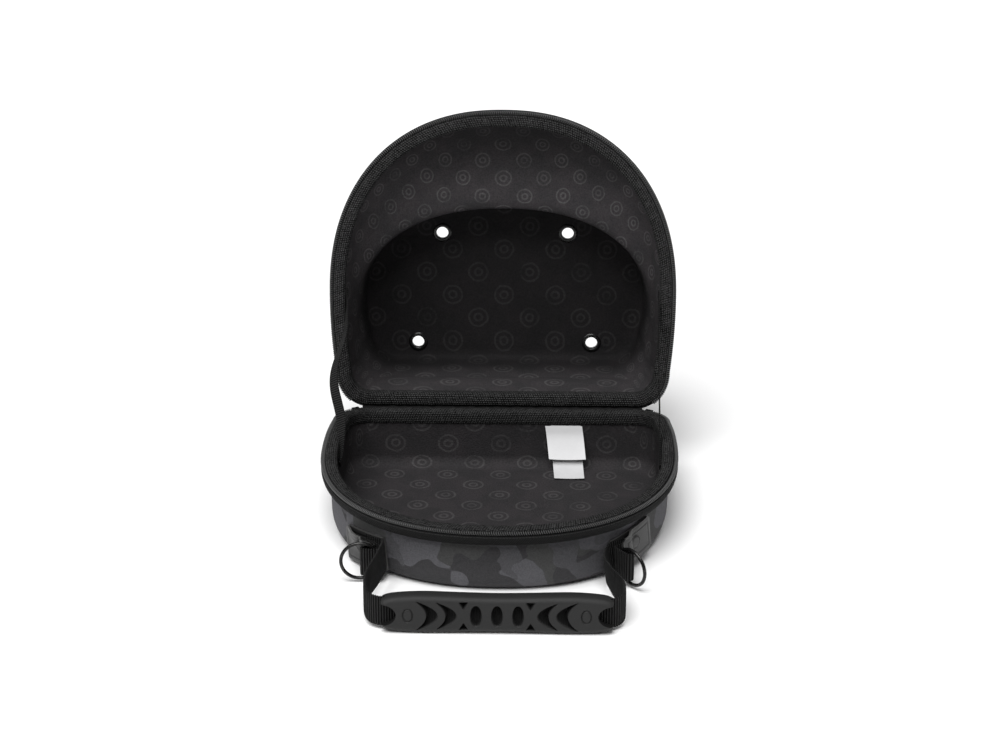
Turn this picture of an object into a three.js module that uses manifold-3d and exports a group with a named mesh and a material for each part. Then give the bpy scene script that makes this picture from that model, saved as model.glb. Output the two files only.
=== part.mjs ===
// An open clamshell carrier case for baseball caps. A shallow moulded tray stands on the table and
// a deep moulded lid, hinged along the straight rear edge, leans back behind it. Both rims are the
// same D, straight at the hinge and round at the front. A carrying handle lies in front of the tray.
// Millimetres, +Z up, +X to the right, the round front towards -Y. The origin is the centre of the
// tray's flat underside.

import * as THREE from 'three';
import { mergeVertices } from 'three/addons/utils/BufferGeometryUtils.js';
import Module from 'manifold-3d';

const wasm = await Module();
wasm.setup();

// Driving dimensions of the case
const CASE_WIDTH = 300;
const CASE_DEPTH = 260;
const BASE_HEIGHT = 58;
const LID_DEPTH = 100;
const WALL = 4;
const GAP = 0.3;
const OPENING_DEG = 96.8;
const LID_DROP = 2.7;

// The D outline of both rims
const WIDEST_SHARE = 0.375;
const FRONT_EXPONENT = 2.24;
const SIDE_TAPER = 4.3;
const REAR_CORNER = 31;
const FRONT_STEPS = 28;
const SIDE_STEPS = 3;
const CORNER_STEPS = 5;
const REAR_STEPS = 4;

// The rim, from its outer edge inwards: coil, welt under the zip tape, shell wall, binding
const COIL_RADIUS = 1.75;
const COIL_SIDES = 6;
const WELT_WIDTH = 4;
const TAPE_DROP = 13.6;
const BINDING_THICK = 1.7;
const BINDING_DROP = 11;
const BINDING_LEG = 1.4;
const ZIP_START_STEPS = 2;

// The raised floor of the lid, a smaller D inside the rim's
const WELL_HALF_WIDTH = 129;
const WELL_BACK = 13;
const WELL_FRONT = 163;
const LID_DRAFT = 8;
const BASE_DRAFT = 0.8;
const BASE_FILLET = 10.5;
const FILLET_STEPS = 3;

// Eyelets in the lid's floor
const EYELET_BORE = 5.3;
const EYELET_BARREL = 0.8;
const EYELET_FLANGE = 8.5;
const EYELET_THICK = 0.8;
const EYELET_SIDES = 12;

// Cloth and webbing
const HINGE_CLOTH = 1.4;
const HINGE_LEG = 22;
const HINGE_END_GAP = 2.7;
const STAY_WIDTH = 10;
const STAY_THICK = 1.2;
const LABEL_THICK = 1;
const STRAP_WIDTH = 25;
const STRAP_THICK = 1.8;
const LOOP_HEIGHT = 20;
const LOOP_THICK = 1.5;
const LOOP_BORE = 4.2;

// Metal and leather of the two handle anchors
const RING_RADIUS = 14.3;
const RING_WIRE = 1.5;
const RING_SIDES = 6;
const RING_STEPS = 20;
const RING_HEIGHT = 18;
const RIGHT_RING_TURN_DEG = 31;
const PATCH_THICK = 1.8;
const BACKING_THICK = 1.4;
const PATCH_LENGTH = 40;
const PATCH_HEIGHT = 33.5;
const PATCH_BOTTOM = 10;
const PATCH_EDGE_X = 97;
const STUD_RADIUS = 6.2;
const STUD_THICK = 1.2;
const STUD_SIDES = 14;

// The grip on the handle
const HANDLE_REACH = 55;
const HANDLE_SHIFT = 2.9;
const GRIP_HALF_LENGTH = 90;
const GRIP_HEIGHT = 32;
const GRIP_THICK = 16;
const GRIP_FLOOR_GAP = 0.2;
const GRIP_SIDES = 16;
const WINDOW_DEPTH = 4.5;
const NOTCH_DEPTH = 11.6;
const NOTCH_HEIGHT = 18;

// Zip sliders parked at the two rear corners
const SLIDER_LENGTH = 8;
const SLIDER_WIDTH = 4;
const SLIDER_HEIGHT = 5;
const PULL_LENGTH = 20;
const PULL_WIDTH = 5;
const PULL_THICK = 1.4;

// Sizes that follow from those above
const HALF_WIDTH = CASE_WIDTH / 2;
const HALF_DEPTH = CASE_DEPTH / 2;
const LEAN = THREE.MathUtils.degToRad(OPENING_DEG - 90);
const COIL_INSET = COIL_RADIUS + GAP / 2;
const BINDING_INSET = 2 * COIL_RADIUS + 0.5;
const SHELL_INSET = BINDING_INSET + WELT_WIDTH;
const CAVITY_INSET = SHELL_INSET + WALL;
const RIM_CLEAR = BINDING_THICK + GAP;
const HINGE_LENGTH = 2 * (HALF_WIDTH - SIDE_TAPER - REAR_CORNER - HINGE_END_GAP);
const ZIP_START_DEG = 90 * ZIP_START_STEPS / CORNER_STEPS;

function finish(color, roughness, metalness = 0) {
  return new THREE.MeshStandardMaterial({ color, roughness, metalness });
}

const SHELL_CLOTH = finish(0x26262a, 0.85);
const BINDING_CLOTH = finish(0x141414, 0.95);
const ZIP_CLOTH = finish(0x191919, 0.9);
const COIL_NYLON = finish(0x1e1e1e, 0.5);
const WEBBING = finish(0x1b1b1b, 0.9);
const LABEL_SATIN = finish(0xeeeeee, 0.5);
const PATCH_LEATHER = finish(0x4a4a4a, 0.6);
const DARK_METAL = finish(0x2a2a2a, 0.35, 0.9);
const GRIP_RUBBER = finish(0x2c2c2c, 0.8);

// Mesh helpers

function signedVolume(points, triangles) {
  const cross = new THREE.Vector3();
  let sum = 0;
  for (const [a, b, c] of triangles) {
    sum += cross.crossVectors(points[b], points[c]).dot(points[a]);
  }
  return sum / 6;
}

// A closed mesh from its points and triangles, with the faces turned outwards
function closedMesh(points, triangles) {
  const inverted = signedVolume(points, triangles) < 0;
  const index = triangles.flatMap(([a, b, c]) => (inverted ? [a, c, b] : [a, b, c]));
  const geometry = new THREE.BufferGeometry();
  const positions = points.flatMap((point) => point.toArray());
  geometry.setAttribute('position', new THREE.Float32BufferAttribute(positions, 3));
  geometry.setIndex(index);
  return geometry;
}

// Joins rings of points, each with the same count, into one body. Without a loop the first and the
// last ring are closed by caps: a fan round their middle, or the triangles of a flat section.
function loft(rings, { loop = false, section = null } = {}) {
  const count = rings[0].length;
  const points = rings.flat();
  const triangles = [];
  const bands = loop ? rings.length : rings.length - 1;
  for (let i = 0; i < bands; i++) {
    const here = i * count;
    const next = ((i + 1) % rings.length) * count;
    for (let j = 0; j < count; j++) {
      const k = (j + 1) % count;
      triangles.push([here + j, here + k, next + k], [here + j, next + k, next + j]);
    }
  }
  if (loop) return closedMesh(points, triangles);
  const last = (rings.length - 1) * count;
  if (section) {
    for (const [a, b, c] of THREE.ShapeUtils.triangulateShape(section, [])) {
      triangles.push([a, c, b], [last + a, last + b, last + c]);
    }
    return orientCaps(points, triangles, bands * count * 2);
  }
  const middle = (ring) => ring.reduce((sum, p) => sum.add(p), new THREE.Vector3()).divideScalar(count);
  points.push(middle(rings[0]), middle(rings.at(-1)));
  const first = points.length - 2;
  for (let j = 0; j < count; j++) {
    const k = (j + 1) % count;
    triangles.push([first, k, j], [first + 1, last + j, last + k]);
  }
  return closedMesh(points, triangles);
}

// Cap triangles of a flat section run the way that the side band's edges need
function orientCaps(points, triangles, sideCount) {
  const edgesOf = ([a, b, c]) => [`${a},${b}`, `${b},${c}`, `${c},${a}`];
  const edges = new Set(triangles.slice(0, sideCount).flatMap(edgesOf));
  const caps = triangles.slice(sideCount);
  const clash = caps.some((triangle) => edgesOf(triangle).some((edge) => edges.has(edge)));
  const turned = clash ? caps.map(([a, b, c]) => [a, c, b]) : caps;
  return closedMesh(points, [...triangles.slice(0, sideCount), ...turned]);
}

function toManifold(geometry) {
  const bare = new THREE.BufferGeometry();
  bare.setAttribute('position', geometry.getAttribute('position').clone());
  if (geometry.index) bare.setIndex(geometry.index.clone());
  const merged = mergeVertices(bare);
  return new wasm.Manifold(new wasm.Mesh({
    numProp: 3,
    vertProperties: new Float32Array(merged.getAttribute('position').array),
    triVerts: new Uint32Array(merged.index.array),
  }));
}

function fromManifold(body) {
  const { vertProperties, triVerts, numProp } = body.getMesh();
  const geometry = new THREE.BufferGeometry();
  const positions = [];
  for (let i = 0; i < vertProperties.length; i += numProp) {
    positions.push(vertProperties[i], vertProperties[i + 1], vertProperties[i + 2]);
  }
  geometry.setAttribute('position', new THREE.Float32BufferAttribute(positions, 3));
  geometry.setIndex([...triVerts]);
  return geometry;
}

function subtract(geometry, cutters) {
  let body = toManifold(geometry);
  for (const cutter of cutters) body = body.subtract(toManifold(cutter));
  return fromManifold(body);
}

// A flat band of cloth or leather: at each point of its path a rectangle, wide along the direction
// that across gives and thick across the path
function ribbon(path, across, width, thick) {
  const rings = path.map((point, i) => {
    const ahead = path[Math.min(i + 1, path.length - 1)];
    const behind = path[Math.max(i - 1, 0)];
    const tangent = new THREE.Vector3().subVectors(ahead, behind).normalize();
    const wide = across(tangent).clone().normalize();
    const out = new THREE.Vector3().crossVectors(tangent, wide).normalize();
    const corner = (w, t) => point.clone()
      .addScaledVector(wide, w * width / 2)
      .addScaledVector(out, t * thick / 2);
    return [corner(-1, -1), corner(1, -1), corner(1, 1), corner(-1, 1)];
  });
  return loft(rings);
}

const UP = new THREE.Vector3(0, 0, 1);
const RIGHT = new THREE.Vector3(1, 0, 0);

// The D outline, as points (x, s) with s the distance from the hinge edge. It starts at the right
// end of the straight rear edge and runs round the front to the left end, then along the rear.

function outlineD({ halfWidth, back, front, corner, taper }, detail = 1) {
  const widest = back + (front - back) * WIDEST_SHARE;
  const rearHalf = halfWidth - taper;
  const right = [];
  for (let i = 0; i <= CORNER_STEPS * detail; i++) {
    const turn = (i / (CORNER_STEPS * detail)) * Math.PI / 2;
    right.push([rearHalf - corner + corner * Math.sin(turn), back + corner - corner * Math.cos(turn)]);
  }
  for (let i = 1; i <= SIDE_STEPS * detail; i++) {
    const along = 1 - i / (SIDE_STEPS * detail);
    right.push([halfWidth - taper * along ** 2, widest - (widest - back - corner) * along]);
  }
  const steps = FRONT_STEPS * detail;
  const frontArc = [];
  for (let i = 1; i < steps; i++) {
    const turn = (i / steps) * Math.PI;
    const reach = Math.sign(Math.cos(turn)) * Math.abs(Math.cos(turn)) ** (2 / FRONT_EXPONENT);
    frontArc.push([halfWidth * reach, widest + (front - widest) * Math.sin(turn) ** (2 / FRONT_EXPONENT)]);
  }
  const left = right.map(([x, s]) => [-x, s]).reverse();
  const rear = [];
  for (let i = 1; i < REAR_STEPS; i++) {
    rear.push([(rearHalf - corner) * (2 * i / REAR_STEPS - 1), back]);
  }
  return [...right, ...frontArc, ...left, ...rear].map(([x, s]) => new THREE.Vector2(x, s));
}

// The same outline moved inwards by a distance, square to itself
function inset(outline, distance) {
  const count = outline.length;
  return outline.map((point, i) => {
    const next = outline[(i + 1) % count];
    const last = outline[(i + count - 1) % count];
    const along = new THREE.Vector2().subVectors(next, last).normalize();
    return new THREE.Vector2(point.x - along.y * distance, point.y + along.x * distance);
  });
}

const mix = (a, b, share) => a.map((point, i) => point.clone().lerp(b[i], share));

const RIM_SHAPE = {
  halfWidth: HALF_WIDTH, back: 0, front: CASE_DEPTH, corner: REAR_CORNER, taper: SIDE_TAPER,
};
const RIM = outlineD(RIM_SHAPE);
const FINE_RIM = outlineD(RIM_SHAPE, 4);
const ZIP_END = RIM.length - REAR_STEPS;

// Both halves are made about the hinge line: y runs back from it, so a point at distance s lies at
// y = -s, and a depth d lies below the rim in the tray and above it in the lid's closed pose.
const BASE_SIDE = -1;
const LID_SIDE = 1;
const place = (point, depth, side) => new THREE.Vector3(point.x, -point.y, side * depth);

// A moulded shell from rows of its inner face. Each point of the outer face lies one wall further
// out, square to the inner face.
function mouldedShell(rows, side) {
  const inner = rows.map(({ outline, depth }) => outline.map((point) => place(point, depth, side)));
  const count = inner[0].length;
  const outer = inner.map((ring, i) => ring.map((point, j) => {
    const along = new THREE.Vector3().subVectors(ring[(j + 1) % count], ring[(j + count - 1) % count]);
    const above = inner[Math.max(i - 1, 0)][j];
    const below = inner[Math.min(i + 1, rows.length - 1)][j];
    const down = new THREE.Vector3().subVectors(below, above);
    const normal = new THREE.Vector3().crossVectors(along, down).multiplyScalar(-side).normalize();
    if (i === 0) normal.setZ(0).normalize();
    if (i === rows.length - 1) normal.set(0, 0, side);
    return point.clone().addScaledVector(normal, WALL);
  }));
  return loft([...inner.slice().reverse(), ...outer]);
}

// Columns: depth and draft as shares of the tray's inner depth and of its draft
const TRAY_ROWS = [
  { depth: 0.24, draft: 0 },
  { depth: 0.55, draft: 0.4 },
];

function trayShell() {
  const cavity = inset(RIM, CAVITY_INSET);
  const floor = BASE_HEIGHT - WALL;
  const rows = [{ outline: cavity, depth: RIM_CLEAR }];
  for (const { depth, draft } of TRAY_ROWS) {
    rows.push({ outline: inset(cavity, draft * BASE_DRAFT), depth: depth * floor });
  }
  for (let i = 0; i <= FILLET_STEPS; i++) {
    const turn = (i / FILLET_STEPS) * Math.PI / 2;
    const inwards = BASE_DRAFT + BASE_FILLET * (1 - Math.cos(turn));
    rows.push({ outline: inset(cavity, inwards), depth: floor - BASE_FILLET * (1 - Math.sin(turn)) });
  }
  return mouldedShell(rows, BASE_SIDE);
}

// Columns: depth as a share of the lid's depth; blend from the rim's D, 0, to the well's D, 1; draft
// as a share of the lid's draft. The rows between 0.2 and 0.6 are the domed shoulder.
const LID_ROWS = [
  { depth: 0.13, blend: 0, draft: 0 },
  { depth: 0.24, blend: 0.03, draft: 0.2 },
  { depth: 0.33, blend: 0.12, draft: 0.35 },
  { depth: 0.42, blend: 0.32, draft: 0.35 },
  { depth: 0.49, blend: 0.62, draft: 0.25 },
  { depth: 0.535, blend: 0.86, draft: 0.1 },
  { depth: 0.565, blend: 0.95, draft: 0.05 },
  { depth: 0.61, blend: 1, draft: 0.1 },
  { depth: 0.75, blend: 1, draft: 0.35 },
  { depth: 0.93, blend: 1, draft: 0.5 },
  { depth: 0.98, blend: 1, draft: 0.7 },
  { depth: 1, blend: 1, draft: 1 },
];

// Columns: x as a share of the half width, s as a share of the well's front
const EYELETS = [
  { name: 'eyelet_upper_left', x: -0.373, s: 0.804 },
  { name: 'eyelet_upper_right', x: 0.373, s: 0.804 },
  { name: 'eyelet_lower_left', x: -0.52, s: 0.19 },
  { name: 'eyelet_lower_right', x: 0.52, s: 0.19 },
];

const eyeletCentre = ({ x, s }) => new THREE.Vector3(x * HALF_WIDTH, -s * WELL_FRONT, LID_DEPTH);

function lidShell() {
  const cavity = inset(RIM, CAVITY_INSET);
  const well = outlineD({
    halfWidth: WELL_HALF_WIDTH, back: WELL_BACK, front: WELL_FRONT, corner: REAR_CORNER, taper: SIDE_TAPER,
  });
  const rows = [{ outline: cavity, depth: RIM_CLEAR }];
  for (const { depth, blend, draft } of LID_ROWS) {
    rows.push({ outline: inset(mix(cavity, well, blend), draft * LID_DRAFT), depth: depth * LID_DEPTH });
  }
  const radius = EYELET_BORE + EYELET_BARREL + GAP;
  const holes = EYELETS.map((eyelet) => new THREE.CylinderGeometry(radius, radius, 4 * WALL, EYELET_SIDES)
    .rotateX(Math.PI / 2)
    .translate(...eyeletCentre(eyelet).toArray()));
  return subtract(mouldedShell(rows, LID_SIDE), holes);
}

// An eyelet pressed through the wall: a barrel with a flange on each face
function eyelet(place3) {
  const barrel = EYELET_BORE + EYELET_BARREL;
  const face = GAP;
  const back = WALL + GAP;
  const profile = [
    [EYELET_BORE, -face - EYELET_THICK],
    [EYELET_FLANGE, -face - EYELET_THICK / 2],
    [EYELET_FLANGE, -face],
    [barrel, -face],
    [barrel, back],
    [EYELET_FLANGE, back],
    [EYELET_FLANGE, back + EYELET_THICK / 2],
    [EYELET_BORE, back + EYELET_THICK],
    [EYELET_BORE, -face - EYELET_THICK],
  ].map(([r, h]) => new THREE.Vector2(r, h));
  return new THREE.LatheGeometry(profile, EYELET_SIDES)
    .rotateX(Math.PI / 2)
    .translate(...place3.toArray());
}

// What runs round a rim has one section, in inset from the outline and depth below the rim

function rimSweep(section, side, from = null, to = null) {
  const lines = section.map(([distance]) => inset(RIM, distance));
  const loop = from === null;
  const indices = loop ? RIM.map((_, i) => i) : Array.from({ length: to - from + 1 }, (_, i) => from + i);
  const rings = indices.map((i) => section.map(([, depth], k) => place(lines[k][i], depth, side)));
  return loft(rings, { loop, section: loop ? null : section.map(([a, b]) => new THREE.Vector2(a, b)) });
}

// The binding folds over the shell's edge: a plate on top and a leg down the inner face
function bindingSection() {
  const outer = BINDING_INSET;
  const legOuter = CAVITY_INSET + GAP;
  const legInner = legOuter + BINDING_LEG;
  const round = BINDING_THICK / 2;
  return [
    [outer, round], [outer + round, 0], [legInner - round, 0], [legInner, round],
    [legInner, BINDING_DROP], [legOuter, BINDING_DROP], [legOuter, BINDING_THICK], [outer, BINDING_THICK],
  ];
}

// The zip tape wraps a soft welt under the coil and slopes in to the shell wall
const WELT_EDGE = 0.5;
const WELT_SLOPE_WIDTH = 4.6;
const WELT_SLOPE_DROP = 4.1;

function tapeSection() {
  const inner = SHELL_INSET - GAP;
  const underCoil = COIL_INSET + COIL_RADIUS + GAP;
  return [
    [BINDING_INSET + GAP, RIM_CLEAR], [inner, RIM_CLEAR], [inner, TAPE_DROP], [inner - 1, TAPE_DROP],
    [inner - WELT_SLOPE_WIDTH, TAPE_DROP - 1], [WELT_EDGE, TAPE_DROP - WELT_SLOPE_DROP],
    [WELT_EDGE, underCoil + 2], [2 * WELT_EDGE, underCoil + GAP], [underCoil - GAP, underCoil],
  ];
}

function coilSection() {
  return Array.from({ length: COIL_SIDES }, (_, i) => {
    const turn = (i / COIL_SIDES) * 2 * Math.PI;
    return [COIL_INSET + COIL_RADIUS * Math.cos(turn), COIL_INSET + COIL_RADIUS * Math.sin(turn)];
  });
}

// A point (inset, depth) of either half's rim, in the plane square to the hinge
const baseSide = ([distance, depth]) => new THREE.Vector2(-distance, -depth);
const lidSide = ([distance, depth]) => new THREE.Vector2(
  distance * Math.sin(LEAN) + depth * Math.cos(LEAN),
  distance * Math.cos(LEAN) - depth * Math.sin(LEAN) - LID_DROP,
);

// The outline of a bent sheet, from the line of its middle
function thickLine(line, thick) {
  const sideLine = (sign) => line.map((point, i) => {
    const before = new THREE.Vector2().subVectors(point, line[Math.max(i - 1, 0)]).normalize();
    const after = new THREE.Vector2().subVectors(line[Math.min(i + 1, line.length - 1)], point).normalize();
    const along = before.clone().add(after).normalize();
    const stretch = before.lengthSq() && after.lengthSq() ? 1 / Math.max(before.dot(along), 0.5) : 1;
    const out = sign * thick * stretch / 2;
    return new THREE.Vector2(point.x - along.y * out, point.y + along.x * out);
  });
  return [...sideLine(1), ...sideLine(-1).reverse()];
}

// The hinge is a strip of cloth sewn down the rear wall of the tray and along the lid's rear wall
function hingeStrip() {
  const wallLine = SHELL_INSET - GAP - HINGE_CLOTH / 2;
  const underBinding = RIM_CLEAR + HINGE_CLOTH / 2;
  const outside = BINDING_INSET - 1;
  const half = [[wallLine, HINGE_LEG], [wallLine, underBinding], [outside, underBinding]];
  const line = [...half.map(baseSide), ...half.slice().reverse().map(lidSide)];
  const shape = new THREE.Shape(thickLine(line, HINGE_CLOTH));
  const strip = new THREE.ExtrudeGeometry(shape, { depth: HINGE_LENGTH, bevelEnabled: false });
  strip.applyMatrix4(new THREE.Matrix4().makeBasis(new THREE.Vector3(0, 1, 0), UP, RIGHT));
  return strip.translate(-HINGE_LENGTH / 2, 0, 0);
}

// A slider at the end of the zip, in line with the coil, with its pull hanging behind
function zipSlider(sign) {
  const body = new THREE.BoxGeometry(SLIDER_LENGTH, SLIDER_WIDTH, SLIDER_HEIGHT);
  const pull = new THREE.BoxGeometry(PULL_WIDTH, PULL_THICK, PULL_LENGTH)
    .translate(0, SLIDER_WIDTH / 2, -PULL_LENGTH / 2);
  const joined = fromManifold(toManifold(body).add(toManifold(pull)));
  const radius = REAR_CORNER - COIL_INSET;
  const turn = THREE.MathUtils.degToRad(ZIP_START_DEG) - (SLIDER_LENGTH / 2 + 2 * GAP) / radius;
  const x = HALF_WIDTH - SIDE_TAPER - REAR_CORNER + radius * Math.sin(turn);
  const s = REAR_CORNER - radius * Math.cos(turn);
  return joined.rotateZ(-sign * turn).translate(sign * x, -s, -COIL_INSET);
}

// The stays hold the lid at its opening angle: flat tapes from the tray's side to the lid's side

const STAY_ROOT_S = 100;
const STAY_ROOT_DEPTH = 15;
const STAY_TOP_S = 99;
const STAY_TOP_DEPTH = 13;
const STAY_STEPS = 10;
const LEFT_STAY_BOW = 5;

function stay(sign, bow) {
  const legInner = CAVITY_INSET + GAP + BINDING_LEG;
  const x = HALF_WIDTH - legInner - GAP - STAY_THICK;
  const foot = baseSide([STAY_ROOT_S, STAY_ROOT_DEPTH]);
  const top = lidSide([STAY_TOP_S, STAY_TOP_DEPTH]);
  const path = Array.from({ length: STAY_STEPS + 1 }, (_, i) => {
    const share = i / STAY_STEPS;
    const free = THREE.MathUtils.clamp((share - 0.2) / 0.6, 0, 1);
    const at = foot.clone().lerp(top, share);
    return new THREE.Vector3(sign * (x + bow * Math.sin(Math.PI * free) ** 2), at.x, at.y);
  });
  const across = (tangent) => new THREE.Vector3().crossVectors(tangent, RIGHT);
  return ribbon(path, across, STAY_WIDTH, STAY_THICK);
}

// Two satin labels hang from under the rear binding and curl on to the tray's floor.
// Columns: distance from the cavity's rear wall, and height, both as shares of the tray's height.
const LOWER_LABEL = [
  { off: 0.0145, height: 0.775 },
  { off: 0.028, height: 0.58 },
  { off: 0.078, height: 0.38 },
  { off: 0.155, height: 0.215 },
  { off: 0.293, height: 0.121 },
  { off: 0.517, height: 0.09 },
];
const UPPER_LABEL = [
  { off: 0.038, height: 0.775 },
  { off: 0.062, height: 0.62 },
  { off: 0.125, height: 0.45 },
  { off: 0.215, height: 0.27 },
];
const UPPER_LABEL_WIDTH = 32;
const LOWER_LABEL_WIDTH = 26;
const LABEL_X = 53.6;
const LABEL_SLANT = 3.5;

function label(rows, width, x) {
  const points = rows.map(({ off, height }, i) => new THREE.Vector3(
    x + LABEL_SLANT * i / (rows.length - 1),
    -CAVITY_INSET - off * BASE_HEIGHT,
    (height - 1) * BASE_HEIGHT,
  ));
  const path = new THREE.CatmullRomCurve3(points).getPoints(3 * (rows.length - 1));
  return ribbon(path, () => RIGHT, width, LABEL_THICK);
}

// Places on the tray's outer wall: along it from the patch's inner edge, positive towards the middle
// of the front, and out from it. The right side's are mirrored to the left.

const WALL_LINE = inset(FINE_RIM, SHELL_INSET);
const EDGE_STEP = WALL_LINE.findIndex((point) => point.y > CASE_DEPTH / 2 && point.x < PATCH_EDGE_X);

function wallPoint(along, out) {
  let step = EDGE_STEP;
  let left = Math.abs(along);
  const direction = Math.sign(along) || 1;
  let here = WALL_LINE[step];
  let next = WALL_LINE[step + direction];
  while (left > here.distanceTo(next)) {
    left -= here.distanceTo(next);
    step += direction;
    here = WALL_LINE[step];
    next = WALL_LINE[step + direction];
  }
  const tangent = new THREE.Vector2().subVectors(next, here).normalize().multiplyScalar(direction);
  const spot = here.clone().addScaledVector(tangent, direction * left);
  return new THREE.Vector2(spot.x + tangent.y * out, spot.y - tangent.x * out);
}

const ground = (height) => height - BASE_HEIGHT;
const wallSpot = (along, out, height) => {
  const { x, y } = wallPoint(along, out);
  return new THREE.Vector3(x, -y, ground(height));
};
const mirrored = (points) => points.map((p) => new THREE.Vector3(-p.x, p.y, p.z));
const onSide = (points, sign) => (sign > 0 ? points : mirrored(points));

// The layers of an anchor, each one gap outside the one before
const BACKING_OUT = GAP + BACKING_THICK / 2;
const STRAP_OUT = 2 * GAP + BACKING_THICK + STRAP_THICK / 2;
const LEG_OUT = STRAP_OUT + STRAP_THICK / 2 + GAP + LOOP_THICK / 2;
const SECOND_LEG_OUT = LEG_OUT + LOOP_THICK + GAP;
const PATCH_LOW = 2 * GAP + BACKING_THICK + PATCH_THICK / 2;
const PATCH_HIGH = SECOND_LEG_OUT + LOOP_THICK / 2 + GAP + PATCH_THICK / 2;
const TAB_LENGTH = 8;
const BACKING_LEAD = 8;
const BORE_LEAD = 4.9;
const BORE_OUT = STRAP_OUT + STRAP_THICK / 2 + 2 * GAP + LOOP_BORE + LOOP_THICK;
const PATCH_MIDDLE = PATCH_BOTTOM + PATCH_HEIGHT / 2;

function backing(sign) {
  const path = [];
  for (let along = BACKING_LEAD; along > -PATCH_LENGTH; along -= BACKING_LEAD) {
    path.push(wallSpot(along, BACKING_OUT, PATCH_MIDDLE));
  }
  path.push(wallSpot(-PATCH_LENGTH, BACKING_OUT, PATCH_MIDDLE));
  return ribbon(onSide(path, sign), () => UP, PATCH_HEIGHT, BACKING_THICK);
}

// The front layer lies on the backing at its outer end and lifts over the webbing at its inner end.
// Columns: along as a share of the patch's length, lift as a share of the way up.
const PATCH_ROWS = [
  { along: -0.07, lift: 1 },
  { along: -0.21, lift: 1 },
  { along: -0.29, lift: 0.72 },
  { along: -0.37, lift: 0.18 },
  { along: -0.44, lift: 0 },
  { along: -0.63, lift: 0 },
  { along: -0.82, lift: 0 },
  { along: -1, lift: 0 },
];

function patch(sign) {
  const path = PATCH_ROWS.map(({ along, lift }) => (
    wallSpot(along * PATCH_LENGTH, PATCH_LOW + lift * (PATCH_HIGH - PATCH_LOW), PATCH_MIDDLE)
  ));
  return ribbon(onSide(path, sign), () => UP, PATCH_HEIGHT, PATCH_THICK);
}

const STUD_ALONG = -0.62;

function stud(sign) {
  const along = STUD_ALONG * PATCH_LENGTH;
  const out = PATCH_LOW + PATCH_THICK / 2 + 2 * GAP + STUD_THICK / 2;
  const [centre] = onSide([wallSpot(along, out, PATCH_MIDDLE)], sign);
  const [outer] = onSide([wallSpot(along, out + 1, PATCH_MIDDLE)], sign);
  const axis = outer.sub(centre).normalize();
  const turn = new THREE.Quaternion().setFromUnitVectors(new THREE.Vector3(0, 1, 0), axis);
  return new THREE.CylinderGeometry(STUD_RADIUS * 0.9, STUD_RADIUS, STUD_THICK, STUD_SIDES)
    .applyQuaternion(turn)
    .translate(...centre.toArray());
}

// A short webbing loop round the ring, its two ends between the strap and the front layer
const BORE_STEPS = 12;
const BORE_SWEEP_DEG = 300;

function loopPath() {
  const middle = LOOP_BORE + LOOP_THICK / 2;
  const path = [1, 0.5].map((share) => wallSpot(-share * TAB_LENGTH, LEG_OUT, RING_HEIGHT));
  for (let i = 0; i <= BORE_STEPS; i++) {
    const turn = THREE.MathUtils.degToRad(-90 + BORE_SWEEP_DEG * i / BORE_STEPS);
    path.push(wallSpot(BORE_LEAD + middle * Math.cos(turn), BORE_OUT + middle * Math.sin(turn), RING_HEIGHT));
  }
  for (const share of [0.15, 0.5, 1]) {
    path.push(wallSpot(-share * TAB_LENGTH, SECOND_LEG_OUT, RING_HEIGHT));
  }
  return path;
}

const ringLoop = (sign) => ribbon(onSide(loopPath(), sign), () => UP, LOOP_HEIGHT, LOOP_THICK);

// The ring hangs through the loop's bore, its wire against the bore's far side
function ring(sign, turnDeg) {
  const [bore] = onSide([wallSpot(BORE_LEAD, BORE_OUT, RING_HEIGHT)], sign);
  const turn = THREE.MathUtils.degToRad(turnDeg);
  const out = new THREE.Vector3(sign * Math.cos(turn), Math.sin(turn), 0);
  const centre = bore.addScaledVector(out, RING_RADIUS - (LOOP_BORE - RING_WIRE - 2 * GAP));
  return new THREE.TorusGeometry(RING_RADIUS, RING_WIRE, RING_SIDES, RING_STEPS)
    .applyMatrix4(new THREE.Matrix4().makeBasis(out, UP, new THREE.Vector3().crossVectors(out, UP)))
    .translate(...centre.toArray());
}

// The handle: webbing from one anchor through the grip to the other, its width upright all the way

const GRIP_S = CASE_DEPTH + HANDLE_REACH;
const GRIP_MIDDLE = GRIP_HEIGHT / 2 + GRIP_FLOOR_GAP;
const ANCHOR_HEIGHT = 30;

// Columns: along and out from the patch's inner edge, in millimetres of webbing
const STRAP_LEAD = [
  { along: -TAB_LENGTH, out: STRAP_OUT },
  { along: 0, out: STRAP_OUT },
  { along: 9, out: STRAP_OUT },
  { along: 12.6, out: STRAP_OUT + 1.6 },
  { along: 14.4, out: STRAP_OUT + 5.2 },
];

// Columns: ahead as a share of the way to the grip's line, outwards past the grip's end
const STRAP_RUN = [
  { ahead: 0.16, outwards: 2.5 },
  { ahead: 0.4, outwards: 7.5 },
  { ahead: 0.64, outwards: 12 },
];
const BEND_RADIUS = 12;
const BEND_STEPS = 5;

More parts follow.
